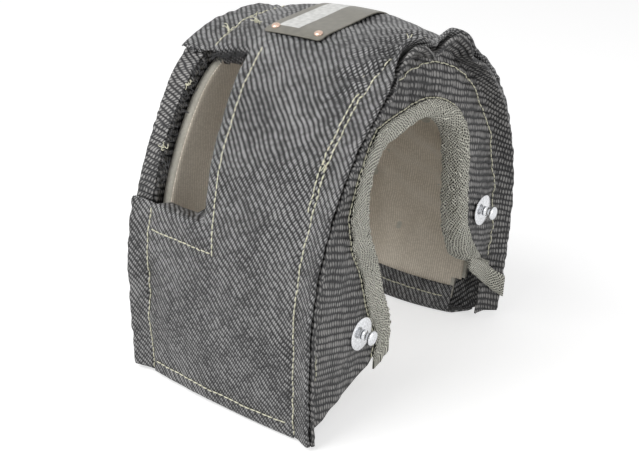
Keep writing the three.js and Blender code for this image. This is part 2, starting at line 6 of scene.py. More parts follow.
import bpy
import numpy as np
from mathutils import Matrix, Vector
from mathutils.bvhtree import BVHTree


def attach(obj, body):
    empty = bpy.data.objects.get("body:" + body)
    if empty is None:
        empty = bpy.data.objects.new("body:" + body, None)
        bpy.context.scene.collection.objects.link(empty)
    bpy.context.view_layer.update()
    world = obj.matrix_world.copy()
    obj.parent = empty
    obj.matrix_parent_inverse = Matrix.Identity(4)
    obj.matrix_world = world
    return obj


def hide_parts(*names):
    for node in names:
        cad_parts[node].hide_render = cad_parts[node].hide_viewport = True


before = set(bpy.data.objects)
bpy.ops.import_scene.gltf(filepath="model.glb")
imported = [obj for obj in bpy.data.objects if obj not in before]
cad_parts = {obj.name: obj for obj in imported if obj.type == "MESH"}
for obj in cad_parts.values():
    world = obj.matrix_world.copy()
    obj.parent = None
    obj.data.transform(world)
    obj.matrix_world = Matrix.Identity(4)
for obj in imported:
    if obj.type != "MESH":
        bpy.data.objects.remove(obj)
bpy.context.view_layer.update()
bpy.ops.object.select_all(action="DESELECT")


# The floor, the light and the camera. The blanket stands on a flat white sheet of paper
# under one large soft lamp, with a weaker one from the other side.

middle = Vector((0, 0, 0.09))
paper_grey = 0.62
paper_glow = 0.55
light_for_blanket, light_for_camera = 0.5, 1.0


def add_node(tree, kind, **inputs):
    """A node whose inputs are set to numbers or joined to sockets by name."""
    node = tree.nodes.new("ShaderNode" + kind)
    for key, value in inputs.items():
        socket = node.inputs[key.replace("_", " ")]
        if isinstance(value, bpy.types.NodeSocket):
            tree.links.new(value, socket)
        else:
            socket.default_value = value
    return node


def maths(tree):
    """A maker of arithmetic nodes. It takes numbers and sockets alike."""
    def node_of(kind, *values):
        """One node and its result."""
        node = tree.nodes.new("ShaderNodeMath")
        node.operation = kind
        for socket, value in zip(node.inputs, values):
            if isinstance(value, bpy.types.NodeSocket):
                tree.links.new(value, socket)
            else:
                socket.default_value = value
        return node.outputs[0]
    return node_of


def seen_directly(tree):
    """1 where the camera or a shiny surface looks, and 0 for all other light."""
    path = add_node(tree, "LightPath").outputs
    return maths(tree)("MAXIMUM", path["Is Camera Ray"], path["Is Glossy Ray"])


floor_material = bpy.data.materials.new("white_paper")
floor_material.use_nodes = True
paper = floor_material.node_tree
paper.nodes.clear()
paper_diffuse = add_node(paper, "BsdfDiffuse", Color=(paper_grey, paper_grey, paper_grey, 1))
paper_level = maths(paper)("MULTIPLY", seen_directly(paper), paper_glow)
paper_light = add_node(paper, "Emission", Strength=paper_level)
paper_mix = add_node(paper, "AddShader")
paper.links.new(paper_diffuse.outputs[0], paper_mix.inputs[0])
paper.links.new(paper_light.outputs[0], paper_mix.inputs[1])
add_node(paper, "OutputMaterial", Surface=paper_mix.outputs[0])

bpy.ops.mesh.primitive_plane_add(size=8, location=(0, 0, -0.0006))
floor = bpy.context.object
floor.name = "floor"
floor.data.materials.append(floor_material)

world = bpy.data.worlds.new("studio")
bpy.context.scene.world = world
world.use_nodes = True
sky = world.node_tree
sky_back = sky.nodes["Background"]
sky_back.inputs["Color"].default_value = (1, 1, 1, 1)
sky_level = add_node(sky, "MapRange", Value=seen_directly(sky),
                     To_Min=light_for_blanket, To_Max=light_for_camera)
sky.links.new(sky_level.outputs["Result"], sky_back.inputs["Strength"])


def new_object(name, data):
    """An object in the scene for a mesh, a curve, a lamp or a camera."""
    made = bpy.data.objects.new(name, data)
    bpy.context.scene.collection.objects.link(made)
    return made


def soft_lamp(name, place, size, power):
    """A square lamp that faces the middle of the blanket."""
    data = bpy.data.lights.new(name, "AREA")
    data.shape = "SQUARE"
    data.size = size
    data.energy = power
    lamp = new_object(name, data)
    lamp.location = place
    away = lamp.location - middle
    lamp.rotation_euler = away.to_track_quat("Z", "Y").to_euler()
    return lamp


soft_lamp("window_lamp", (-0.35, -0.95, 1.05), 0.9, 15)
soft_lamp("fill_lamp", (1.1, -0.1, 0.5), 0.8, 3.5)

camera_data = bpy.data.cameras.new("camera")
camera = new_object("camera", camera_data)
camera_data.sensor_width = 36
camera_data.lens = 59.155
camera_right = Vector((0.7925, 0.609, 0.0322))
camera_up = Vector((-0.274, 0.3084, 0.9109))
camera_back = camera_right.cross(camera_up)
camera.matrix_world = Matrix.Translation((0.316118, -0.434829, 0.31266)) @ Matrix((
    (camera_right.x, camera_up.x, camera_back.x),
    (camera_right.y, camera_up.y, camera_back.y),
    (camera_right.z, camera_up.z, camera_back.z),
)).to_4x4()
bpy.context.scene.camera = camera
bpy.context.scene.view_settings.view_transform = "Standard"


# The band: the outer cloth that runs up the front leg, over the crown and down the
# rear leg. Charcoal twill, cut long, its two long edges turned double and sewn out as
# welts, its ends turned up inside, with a bound cut-out through its left edge.

shift = np.array([0.588, -1.639, 0.0])
half_depth = 93.5
rise = 125.0
spring = 60.0
seam_x = 50.0
first_angle = -math.degrees(spring / rise)
last_angle = 180 - first_angle
cloth = 1.1
wall_depth = 10.7
wool_depth, wool_thickness = 2.2, 5.0
lining_depth, lining_thickness = 8.2, 0.6
stitch_x = 49.0
front_hem_line, rear_hem_line = 8.6, 9
cut_stitch_angle = 12.4
random = np.random.default_rng(7)


def smooth(value, low, high):
    """0 below low and 1 above high, with a soft rise between."""
    t = np.clip((np.asarray(value, float) - low) / (high - low), 0, 1)
    return t * t * (3 - 2 * t)


def down_leg(angle):
    """How far down a leg an angle lies: 0 where the arch springs and 1 at the foot."""
    return np.maximum(np.maximum(-angle, angle - 180), 0) / -first_angle


def face(angle, out):
    """y and z on the band's face, at an angle up the arch and a distance outside it."""
    angle = np.asarray(angle, float)
    bend = np.radians(np.clip(angle, 0, 180))
    below = down_leg(angle)
    lean = np.where(angle < 90, 2.5, -6.0) * below ** 2
    ny, nz = -np.cos(bend) / half_depth, np.sin(bend) / rise
    size = np.hypot(ny, nz)
    y = -half_depth * np.cos(bend) + lean + ny / size * out
    z = spring * (1 - below) + rise * np.sin(bend) + nz / size * out
    return y, z


def on_band(x, angle, out):
    """Points at a distance outside the band's plain arch, in millimetres."""
    y, z = face(angle, out)
    return np.stack(np.broadcast_arrays(np.asarray(x, float), y, z), -1)


def seam(side, angle):
    """Seam line and welt: x, tilt, length and splay, the angles in radians."""
    angle = np.asarray(angle, float)
    crown = np.sin(np.radians(np.clip(angle, 0, 180)))
    if side > 0:
        rear = smooth(angle, 95, 190)
        ruck = smooth(angle, 58, 72) * (1 - smooth(angle, 104, 122))
        x = seam_x + 2.5 * rear - 2 * ruck
        tilt = 22 + 26 * rear - 14 * crown + ruck * (22 + 24 * np.sin(angle * 0.26))
        length = 10.5 + 2 * crown - rear - ruck * (1.5 + 2 * np.cos(angle * 0.26))
        splay = 1.5 + 6 * rear + 10 * ruck
    else:
        flare = np.exp(-((angle - 62) / 18) ** 2)
        x = seam_x + crown + 3 * flare
        tilt = 11 - 5 * crown
        length = 12.1 - 1.8 * crown + 3 * flare
        splay = 3 + 0 * angle
    return x, np.radians(tilt), length, np.radians(splay)


def swell(x, angle):
    """How far the band's face stands out between its seams."""
    middle = 1 - np.minimum(1, (x / seam_x) ** 2)
    y = face(angle, 0)[0]
    lift = 6 * np.exp(-((y - 25) / 17) ** 2) + 2.5 * np.exp(-((y + 27) / 12) ** 2)
    lift = np.where((angle < 0) | (angle > 180), 0, lift)
    below = np.maximum(angle - 180, 0) / -first_angle
    return middle * (2 - 12 * below) + lift * np.sqrt(middle)


class Ripple:
    """Soft uneven waves over a cloth, from a few crossing sine waves."""

    def __init__(self, wavelength, count=14):
        """Picks the waves at random. The wavelength is in millimetres."""
        turn = random.uniform(0, math.tau, count)
        size = math.tau / wavelength * random.uniform(0.6, 1.5, count)
        self.waves = np.stack([np.cos(turn) * size, np.sin(turn) * size])
        self.phase = random.uniform(0, math.tau, count)
        self.gain = math.sqrt(2 / count)

    def __call__(self, u, v):
        """The waves' height at a place on the cloth, mostly between -2 and 2."""
        u, v = np.broadcast_arrays(u, v)
        total = np.zeros(u.shape)
        for (ku, kv), phase in zip(self.waves.T, self.phase):
            total += np.sin(ku * u + kv * v + phase)
        return total * self.gain


arc_angles = np.linspace(first_angle, last_angle, 4001)
arc_y, arc_z = face(arc_angles, 0)
arc_lengths = np.concatenate([[0], np.cumsum(np.hypot(np.diff(arc_y), np.diff(arc_z)))])


def arc_of(angle):
    """The length along the arch from the front foot to an angle."""
    return np.interp(angle, arc_angles, arc_lengths)


def angle_of(arc):
    """The angle at a length along the arch."""
    return np.interp(arc, arc_lengths, arc_angles)


hem_corner = 2.2
hem_height = 17.0


def hem_path(step=1.3):
    """Depth and height round a turned-up edge, from inside down and out."""
    up = np.arange(hem_height, hem_corner, -step)
    turn = np.radians(np.linspace(0, 90, 4))
    low = np.arange(wall_depth - hem_corner - step, hem_corner, -step)
    depth = np.concatenate([
        np.full(len(up), wall_depth),
        wall_depth - hem_corner * (1 - np.cos(turn)),
        low,
        hem_corner * (1 - np.sin(turn[:-1])),
    ])
    height = np.concatenate([
        up,
        hem_corner * (1 - np.sin(turn)),
        np.zeros(len(low)),
        hem_corner * (1 - np.cos(turn[:-1])),
    ])
    return depth, height


# where the cut-out's edges lie: its lower and upper angle and its right edge
cut_low, cut_high = 19.0, 66.0


def cut_edges(x, angle):
    """Distances inside the cut-out from its lower, upper and right edge."""
    part = (angle - cut_low) / (cut_high - cut_low)
    right = -12 - 14 * np.clip(part, -0.3, 1.3)
    drop = 3 * np.clip((right - x) / (right + seam_x), 0, 1.4)
    arc = arc_of(angle)
    return arc - arc_of(cut_low), arc_of(cut_high - drop) - arc, (right - x) * 0.99


def cut_stitch_x(angle):
    """Where the stitches beside the cut-out lie, which slant inwards up the band."""
    return np.interp(angle, [12, 68], [-3, -19])


def in_cut(x, angle):
    """How deep inside the cut-out a place lies. It is below 0 on the cloth."""
    low, high, right = cut_edges(x, angle)
    return np.minimum(np.minimum(low, high), right)


def grid_mesh(name, points, uv, keep=None, closed=False):
    """A mesh from rows of points in millimetres, with a UV map in centimetres."""
    rows, columns = points.shape[:2]
    index = np.arange(rows * columns).reshape(rows, columns)
    if closed:
        index = np.concatenate([index, index[:, :1]], 1)
    quads = np.stack([index[:-1, :-1], index[:-1, 1:], index[1:, 1:], index[1:, :-1]], -1)
    if keep is not None:
        quads = quads[keep]
    quads = quads.reshape(-1, 4)
    used, order = np.unique(quads, return_inverse=True)
    quads = order.reshape(-1, 4)
    flat = (points.reshape(-1, 3)[used] + shift) * 0.001
    mesh = bpy.data.meshes.new(name)
    mesh.from_pydata(flat.tolist(), [], quads.tolist())
    layer = mesh.uv_layers.new(name="cloth")
    spots = uv.reshape(-1, 2)[used][quads.reshape(-1)] * 0.1
    layer.data.foreach_set("uv", spots.astype(np.float32).ravel())
    mesh.shade_smooth()
    return new_object(name, mesh)


def flipped(*grids):
    """The same rows of points or squares, so that a sheet faces the other way."""
    return [grid[:, ::-1] for grid in grids]


def only(piece):
    """Selects one piece alone, ready for an operator."""
    bpy.ops.object.select_all(action="DESELECT")
    bpy.context.view_layer.objects.active = piece
    piece.select_set(True)


def thicken(piece, thickness):
    """Gives a sheet its thickness, on the side away from its face."""
    only(piece)
    wall = piece.modifiers.new("wall", "SOLIDIFY")
    wall.thickness = thickness * 0.001
    wall.offset = -1
    wall.use_even_offset = False
    bpy.ops.object.modifier_apply(modifier=wall.name)
    piece.select_set(False)


def welt_section(side, angle, count_out, count_fold, count_back):
    """x and distance from the face along a band's welt, out to its tip and back."""
    x, tilt, length, splay = seam(side, angle)
    lead = x - stitch_x
    fold = 1.2
    samples = 240
    straight = lead + length - fold
    total = straight + math.pi * fold + length - 2.5
    s = total[:, None] * np.linspace(0, 1, samples)
    lean = (tilt + splay)[:, None]
    heading = lean * smooth((s - lead[:, None]) / 4, -0.3, 1)
    heading = heading - math.pi * np.clip((s - straight[:, None]) / (math.pi * fold), 0, 1)
    step = total[:, None] / (samples - 1)
    across = np.cumsum(np.cos(heading) * step, 1) - np.cos(heading[:, :1]) * step
    out = np.cumsum(np.sin(heading) * step, 1) - np.sin(heading[:, :1]) * step
    marks = np.concatenate([
        straight[:, None] * np.linspace(0, 1, count_out, endpoint=False)[1:],
        straight[:, None] + math.pi * fold * np.linspace(0, 1, count_fold, endpoint=False),
        straight[:, None] + math.pi * fold
        + (total - straight - math.pi * fold)[:, None] * np.linspace(0, 1, count_back),
    ], 1)
    at = marks / step
    low = np.clip(at.astype(int), 0, samples - 2)
    f = at - low

    def take(values):
        """The values at the marks, between the samples."""
        lower = np.take_along_axis(values, low, 1)
        upper = np.take_along_axis(values, low + 1, 1)
        return lower * (1 - f) + upper * f

    return side * (stitch_x + take(across)), take(out), marks


broad = Ripple(46)
medium = Ripple(17)
small = Ripple(7.5)
pucker = Ripple(9)


def band_relief(x, arc, angle):
    """Small dents and folds of the band's face."""
    near = np.exp(-((stitch_x - np.abs(x)) / 6.5) ** 2)
    relief = 0.35 * broad(x, arc) + 0.18 * medium(x, arc)
    relief += near * (0.3 * pucker(x * 0.3, arc) + 0.15 * small(x, arc))
    relief -= 0.7 * np.exp(-((stitch_x + 0.2 - np.abs(x)) / 1.8) ** 2)
    for line in (front_hem_line, arc_lengths[-1] - rear_hem_line):
        relief -= 0.45 * np.exp(-((arc - line) / 1.5) ** 2)
    ruck = smooth(angle, 52, 64) * (1 - smooth(angle, 92, 108)) * smooth(x, 18, 46)
    relief += ruck * (1.3 * np.sin((arc - 0.8 * x) * 0.42) + 0.6 * np.sin((arc + x) * 0.31))
    return relief


band_depth, band_height = hem_path()
outer_arc = np.arange(hem_corner, arc_lengths[-1] - hem_corner, 1.5)
outer_angle = angle_of(outer_arc)
hem_run = np.concatenate([
    [0], np.cumsum(np.hypot(np.diff(band_depth), np.diff(band_height))),
])
front_angle = -(spring - band_height) / spring * -first_angle
rear_angle = 180 + (spring - band_height[::-1]) / spring * -first_angle
row_angle = np.concatenate([front_angle, outer_angle, rear_angle])
row_depth = np.concatenate([band_depth, 0 * outer_angle, band_depth[::-1]])
row_arc = np.concatenate([
    hem_corner - 1.5 - hem_run[-1] + hem_run, outer_arc,
    outer_arc[-1] + 1.5 + hem_run,
])
row_outer = np.concatenate([0 * front_angle, 0 * outer_angle + 1, 0 * rear_angle]) > 0.5

face_x = np.linspace(-stitch_x, stitch_x, 67)
angle_grid, x_grid = np.meshgrid(row_angle, face_x, indexing="ij")
arc_grid = np.broadcast_to(row_arc[:, None], x_grid.shape)
depth_grid = np.broadcast_to(row_depth[:, None], x_grid.shape)
narrow = x_grid * (1 - depth_grid * 0.98 / stitch_x)

low_in, high_in, right_in = cut_edges(narrow, angle_grid)
hole = np.minimum(np.minimum(low_in, high_in), right_in)
roll = 2.0
over = np.clip((hole + roll) / roll, 0, math.pi / 2)
drawn = np.where(hole > -roll, -roll + roll * np.sin(over) - hole, 0)
sunk = np.where(hole > -roll, roll * (1 - np.cos(over)), 0)
sunk += np.maximum(hole + roll - roll * math.pi / 2, 0)
is_low = (low_in <= high_in) & (low_in <= right_in)
is_high = (high_in < low_in) & (high_in <= right_in)
is_right = ~is_low & ~is_high
moved_arc = arc_of(angle_grid) + np.where(is_low, drawn, 0) - np.where(is_high, drawn, 0)
moved_angle = np.where(hole > -roll, angle_of(moved_arc), angle_grid)
moved_x = narrow - np.where(is_right, drawn / 0.99, 0)
edge_puff = 0.5 * np.exp(-((hole + 5) / 4.0) ** 2) * (row_outer[:, None])
from_low = moved_angle - cut_stitch_angle
on_low = np.where(moved_x < -2, np.exp(-(from_low / 0.75) ** 2), 0)
from_side = moved_x - cut_stitch_x(moved_angle)
beside_cut = (moved_angle > 12) & (moved_angle < 69)
on_side = np.where(beside_cut, np.exp(-(from_side / 1.5) ** 2), 0)
cut_line = 0.5 * np.maximum(on_low, on_side) * (row_outer[:, None])
out_grid = swell(moved_x, moved_angle) - depth_grid - sunk
out_grid += np.where(row_outer[:, None], band_relief(moved_x, arc_grid, moved_angle), 0)
out_grid += edge_puff - cut_line
face_points = on_band(moved_x, moved_angle, out_grid)

welt_counts = (11, 6, 9)
parts, uv_parts = [face_points], [np.stack([x_grid, arc_grid], -1)]
for side in (1, -1):
    wx, wout, marks = welt_section(side, row_angle, *welt_counts)
    tip = smooth(marks, 4, 12)
    wave = 0.35 * pucker(marks * 0.2 + 40 * side, row_arc[:, None]) * tip
    welt_angle = np.broadcast_to(row_angle[:, None], wx.shape).copy()
    if side < 0:
        low_w, high_w, _ = cut_edges(wx, welt_angle)
        inside = np.minimum(low_w, high_w)
        back = np.where(low_w < high_w, -inside, inside)
        gone = inside > 0
        welt_angle[gone] = angle_of(arc_of(welt_angle) + back)[gone]
    welt_points = on_band(wx, welt_angle, wout + wave)
    welt_uv = np.stack([side * (stitch_x + marks), np.broadcast_to(row_arc[:, None], wx.shape)], -1)
    if side > 0:
        parts.append(welt_points)
        uv_parts.append(welt_uv)
    else:
        parts.insert(0, welt_points[:, ::-1])
        uv_parts.insert(0, welt_uv[:, ::-1])
        left_gone = gone[:, ::-1]
points = np.concatenate(parts, 1)
uvs = np.concatenate(uv_parts, 1)
columns = points.shape[1]
welt_columns = parts[0].shape[1]
keep = np.ones((points.shape[0] - 1, columns - 1), bool)
is_outer = row_outer[:-1] & row_outer[1:]
keep[:, :welt_columns] &= is_outer[:, None]
keep[:, columns - 1 - welt_columns:] &= is_outer[:, None]
deep = np.zeros(points.shape[:2], bool)
deep[:, welt_columns:columns - welt_columns] = (sunk > wall_depth - 0.6) & row_outer[:, None]
deep[:, :welt_columns] = left_gone
keep &= ~(deep[:-1, :-1] & deep[1:, :-1] & deep[:-1, 1:] & deep[1:, 1:])
keep[:, welt_columns - 1:welt_columns + 2] &= ~(
    (hole[:-1, 0] > 0) & (hole[1:, 0] > 0))[:, None]


def new_finish(name):
    """A new material: itself, its nodes and its shader."""
    material = bpy.data.materials.new(name)
    material.use_nodes = True
    tree = material.node_tree
    return material, tree, tree.nodes["Principled BSDF"]


def noise(tree, place, scale, detail=2.0):
    """The strength of an uneven pattern."""
    return add_node(tree, "TexNoise", Vector=place, Scale=scale, Detail=detail).outputs["Fac"]


def tinted(tree, shader, value, low, dark, high, light):
    """Colours the shader by a value, from one colour to another."""
    ramp = add_node(tree, "ValToRGB", Fac=value)
    for stop, position, colour in zip(ramp.color_ramp.elements, (low, high), (dark, light)):
        stop.position = position
        stop.color = (*colour, 1)
    tree.links.new(ramp.outputs["Color"], shader.inputs["Base Color"])


def embossed(tree, shader, height, distance, invert=False):
    """Raises the surface by a value, over a distance in metres."""
    bump = add_node(tree, "Bump", Height=height, Distance=distance, Strength=0.9)
    bump.invert = invert
    tree.links.new(bump.outputs["Normal"], shader.inputs["Normal"])


def cloth_map(tree):
    """The place on a piece's own UV map, which is in centimetres."""
    uv = tree.nodes.new("ShaderNodeUVMap")
    uv.uv_map = "cloth"
    return uv.outputs[0]


def twill(name, lit_yarn_colour, groove_shade_colour, pitch, roughness, turn, sheen, depth):
    """Cloth woven two over and two under: ribs run across it at a slant. The yarns'
    pitch is in millimetres, and the pattern follows the piece's own UV map."""
    material, tree, shader = new_finish(name)
    shader.inputs["Roughness"].default_value = roughness
    shader.inputs["Sheen Weight"].default_value = sheen
    shader.inputs["Sheen Roughness"].default_value = 0.5
    math_node = maths(tree)
    uv = cloth_map(tree)
    place = add_node(tree, "Mapping", Vector=uv, Rotation=(0, 0, turn),
                     Scale=(10 / pitch, 10 / pitch, 1))
    parted = add_node(tree, "SeparateXYZ", Vector=place.outputs[0])
    wander = math_node("SUBTRACT", noise(tree, uv, 0.8), 0.5)
    drift = math_node("MULTIPLY", wander, 2.0)
    across = math_node("ADD", parted.outputs["X"], drift)
    along = math_node("ADD", parted.outputs["Y"], drift)
    # ribs lie where the two counts add up alike, and short yarns cross them
    rib_place = math_node("MULTIPLY", math_node("ADD", across, along), 0.25)
    rib_number = math_node("FLOOR", rib_place)
    in_rib = math_node("FRACT", rib_place)
    rib = math_node("SINE", math_node("MULTIPLY", in_rib, math.pi))
    offset = math_node("MULTIPLY", rib_number, 0.5)
    yarn_place = math_node("MULTIPLY_ADD", math_node("SUBTRACT", across, along), 0.5, offset)
    in_yarn = math_node("FRACT", math_node("MULTIPLY_ADD", in_rib, 0.7, yarn_place))
    yarn = math_node("SINE", math_node("MULTIPLY", in_yarn, math.pi))
    height = math_node("MULTIPLY", math_node("POWER", rib, 0.8),
                       math_node("MULTIPLY_ADD", yarn, 0.7, 0.3))
    # each yarn's painted highlight is made a little stronger or weaker at random
    pair = add_node(tree, "CombineXYZ", X=rib_number, Y=math_node("FLOOR", yarn_place))
    speck = add_node(tree, "TexWhiteNoise", Vector=pair.outputs[0])
    speck.noise_dimensions = "2D"
    each = math_node("MULTIPLY_ADD", speck.outputs["Value"], 0.5, 0.7)
    # painted sheen: large soft patches, lighter and darker at random, laid over the cloth's colour
    painted_sheen_patch = math_node("SUBTRACT", noise(tree, uv, 0.35, 4), 0.5)
    # the colour follows the weave's height: painted highlights on the raised yarns, painted shade
    # in the grooves between the ribs, with the painted sheen patches laid over it
    bright = math_node("MULTIPLY_ADD", painted_sheen_patch, 0.7, math_node("MULTIPLY", height, each))
    tinted(tree, shader, bright, 0.36, groove_shade_colour, 0.95, lit_yarn_colour)
    embossed(tree, shader, height, depth * 0.001)
    return material


# The first colour is the raised yarns with their painted highlight, the second the near-black
# painted shade in the grooves between the ribs.
charcoal = twill("charcoal_twill", (0.36, 0.357, 0.357), (0.002, 0.002, 0.003), 0.9,
                 roughness=0.46, turn=0, sheen=0.03, depth=0.6)

band = grid_mesh("band_cloth", points, uvs, keep)
thicken(band, cloth)
band.data.materials.append(charcoal)
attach(band, "root")
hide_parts("band_outer")


# The side panels: a shield-shaped piece of the same twill on each side, with an
# arched opening. Its rim turns out into the second edge of the welt, and its lower
# edges are turned up inside.

sides = ((1, "right"), (-1, "left"))
opening_rows = np.array([
    [-45, -19, -55], [-28, -18, -35], [-20, -17, -27], [-12, -19, -17], [0, -26, -1],
    [12, -33, 19], [25, -40, 34], [38, -44, 50], [52, -43, 66], [64, -35, 78],
    [76, -19, 83], [90, 0, 87], [104, 17, 85], [118, 31, 77.5], [132, 39, 66],
    [147, 42, 50], [162, 43, 33], [174, 45, 16], [184, 50, 1], [190, 58, -11],
    [194, 70, -23], [197, 86, -36],
], float)


def smooth_rows(rows, angles):
    """A smooth curve through rows of an angle and two values."""
    at = np.clip(np.searchsorted(rows[:, 0], angles, side="left") - 1, 0, len(rows) - 2)
    low, high = rows[at], rows[at + 1]
    before, after = rows[np.maximum(at - 1, 0)], rows[np.minimum(at + 2, len(rows) - 1)]
    f = np.clip((angles - low[:, 0]) / (high[:, 0] - low[:, 0]), 0, 1)[:, None]
    p0, p1, p2, p3 = before[:, 1:], low[:, 1:], high[:, 1:], after[:, 1:]
    return ((2 * f ** 3 - 3 * f ** 2 + 1) * p1 + (f ** 3 - 2 * f ** 2 + f) * (p2 - p0) / 2
            + (3 * f ** 2 - 2 * f ** 3) * p2 + (f ** 3 - f ** 2) * (p3 - p1) / 2)


def opening(side, angles):
    """y and z of the opening's edge, level with each angle."""
    angles = np.asarray(angles, float)
    if side < 0:
        bend = np.radians(np.clip(angles, 0, 180))
        below = down_leg(angles)
        return np.stack([12 - 30 * np.cos(bend),
                         (spring + 12) * (1 - below) + 14 * below + 31 * np.sin(bend)], -1)
    edge = smooth_rows(opening_rows, angles)
    edge[:, 1] += spring
    strip = np.stack(face(angles, -10.5), -1)
    past = (angles > 190) & ((edge[:, 0] > strip[:, 0]) | (edge[:, 1] > strip[:, 1]))
    return np.where(past[:, None], strip, edge)


class PanelLines:
    """Lines across a panel, from its opening to its seam, one for each angle."""

    def __init__(self, side, angles):
        """Works out where each line starts, ends and crosses the mesh."""
        self.side, self.angles = side, np.asarray(angles, float)
        self.inner = opening(side, self.angles)
        rim = np.stack(face(self.angles, -3.4), -1)
        self.full = np.hypot(*(rim - self.inner).T)
        self.across = (rim - self.inner) / self.full[:, None]
        ahead = opening(side, self.angles + 0.8) - opening(side, self.angles - 0.8)
        into = np.stack([-ahead[:, 1], ahead[:, 0]], -1)
        self.into = into / np.maximum(np.hypot(*into.T), 1e-9)[:, None]
        slant = np.maximum((self.into * self.across).sum(1), 0.6)
        width = np.interp(self.angles, [-28, 0, 45, 90, 125, 175, 190],
                          [13, 15, 15, 9, 6.5, 6.5, 9])
        self.end = self.full - 4.1
        self.outside = np.minimum(width / slant, np.maximum(self.end * 0.6 - 0.3, 2.4))
        self.inside = np.minimum(9 / slant, self.full + 1)
        self.face_x = seam(side, self.angles)[0] + 3

    def swell(self, reach):
        """How far the panel's face stands out between opening and seam."""
        foot = 1 - 0.7 * down_leg(self.angles)
        high = 2.5 * np.minimum(1, self.full / 40) * foot
        part = np.clip(reach / self.full[:, None], 0, 1)
        return high[:, None] * 4 * part * (1 - part)

    def points(self, reach, depth):
        """Points at distances from the opening and depths below the face."""
        flat = self.inner[:, None] + self.across[:, None] * reach[..., None]
        x = self.side * (self.face_x[:, None] + self.swell(reach) - depth)
        return np.concatenate([x[..., None], flat], -1)


def cut_corners(points, rounds=2, closed=False):
    """Rounds off rows of points by cutting their corners."""
    for _ in range(rounds):
        if closed:
            ahead = np.roll(points, -1, 1)
            pair = [points * 0.75 + ahead * 0.25, points * 0.25 + ahead * 0.75]
            points = np.stack(pair, 2).reshape(points.shape[0], -1, 3)
        else:
            a, b = points[:, :-1], points[:, 1:]
            pair = np.stack([a * 0.75 + b * 0.25, a * 0.25 + b * 0.75], 2)
            points = np.concatenate([
                points[:, :1], pair.reshape(points.shape[0], -1, 3), points[:, -1:],
            ], 1)
    return points


# The first colour is the raised yarns with their painted highlight, the second the near-black
# painted shade in the grooves between the ribs.
charcoal_wide = twill("charcoal_twill_wide", (0.30, 0.292, 0.285), (0.002, 0.002, 0.003), 1.25,
                      roughness=0.46, turn=-0.5, sheen=0.03, depth=0.6)


def panel_sheet(side):
    """Rows of points and their cloth map over one panel, hems and welt included."""
    arc = np.arange(0, arc_lengths[-1], 1.9)
    outer = angle_of(arc)
    turn = 0.47
    front_rows = first_angle + turn * band_height
    rows = [(front_rows, band_depth), (outer[1:-1], 0 * outer[1:-1])]
    if side < 0:
        rows.append((last_angle - turn * band_height[::-1], band_depth[::-1]))
    angles = np.concatenate([r[0] for r in rows])
    depths = np.concatenate([r[1] for r in rows])
    is_face = np.concatenate([np.zeros(len(front_rows)), np.ones(len(outer) - 2),
                              np.zeros(len(angles) - len(front_rows) - len(outer) + 2)]) > 0.5
    lines = PanelLines(side, angles)
    count = 26
    share = np.linspace(0, 1, count)
    reach = lines.end[:, None] * share
    reach = np.where(is_face[:, None], reach,
                     lines.inside[:, None] + 1
                     + (lines.full[:, None] - 8 - lines.inside[:, None]) * share)
    depth = np.broadcast_to(depths[:, None], reach.shape)
    flat = lines.points(reach, depth)
    y, z = flat[..., 1], flat[..., 2]
    near_seam = np.exp(-((lines.end[:, None] - reach) / 8) ** 2)
    near_trim = np.exp(-((reach - lines.outside[:, None]) / 7) ** 2)
    run = np.broadcast_to(arc_of(angles)[:, None], y.shape)
    relief = 0.45 * broad(y + 60 * side, z) + 0.22 * medium(y, z + 35 * side)
    relief += 0.4 * near_seam * pucker(run, reach * 0.35)
    relief += 0.35 * near_trim * pucker(run * 0.9 + 30, reach * 0.3)
    relief -= 0.4 * np.exp(-((reach - lines.outside[:, None]) / 1.5) ** 2)
    if side > 0:
        top = smooth(angles, 50, 70) * (1 - smooth(angles, 105, 125))
        relief += top[:, None] * 0.9 * np.sin(run * 0.5 + reach * 0.06) * smooth(reach, 4, 16)
    relief *= is_face[:, None] * (0.1 + 0.9 * smooth(reach - lines.outside[:, None], -1, 5))
    flat[..., 0] += side * relief

    x, tilt, length, splay = seam(side, angles)
    down = np.stack([np.sin(tilt), -np.cos(tilt)], -1)
    heading = np.stack([np.cos(tilt - splay), np.sin(tilt - splay)], -1)
    under = np.stack([heading[:, 1], -heading[:, 0]], -1)

    def at(far, deep):
        """Points along the welt, at a distance out and a depth below its face."""
        far = np.broadcast_to(far, angles.shape)
        place = down * 3.0 + heading * far[:, None] + under * deep
        return on_band(side * (x + place[:, 0]), angles, place[:, 1])

    wave = 0.3 * pucker(arc_of(angles) + 60 * side, 0 * angles)
    tip = length + 0.25 * small(arc_of(angles), 5 * side)
    welt = np.stack([
        flat[:, -2], flat[:, -1], at(1.0, 2.6), at(tip * 0.3, 2.4), at(tip * 0.6, 2.4),
        at(tip - 1.2, 2.4), at(tip - 0.1, 2.3), at(tip, 1.2), at(tip - 0.1, 0.1),
        at(tip - 1.2, 0), at(tip * 0.6, 0), at(tip * 0.3, 0.1), at(1.2, 0.2),
    ], 1)
    welt[:, 4:-2, 1:] += (wave[:, None] * 0.5)[..., None] * np.array([0.0, 1.0])
    welt = cut_corners(welt)[:, 2:]
    points = np.concatenate([flat[:, :-1], welt], 1)
    face_uv = flat[:, :-1, 1:].copy()
    face_uv += np.where(is_face[:, None, None], 0, 1) * np.array([0, -1]) * 20.0
    steps = np.linalg.norm(np.diff(points[:, count - 2:], axis=1), axis=2).cumsum(1)
    welt_uv = face_uv[:, -1:] + lines.across[:, None] * steps[..., None]
    uv = np.concatenate([face_uv, welt_uv], 1)
    keep = np.ones((points.shape[0] - 1, points.shape[1] - 1), bool)
    keep[:, count - 2:] &= (is_face[:-1] & is_face[1:])[:, None]
    return points, uv, keep


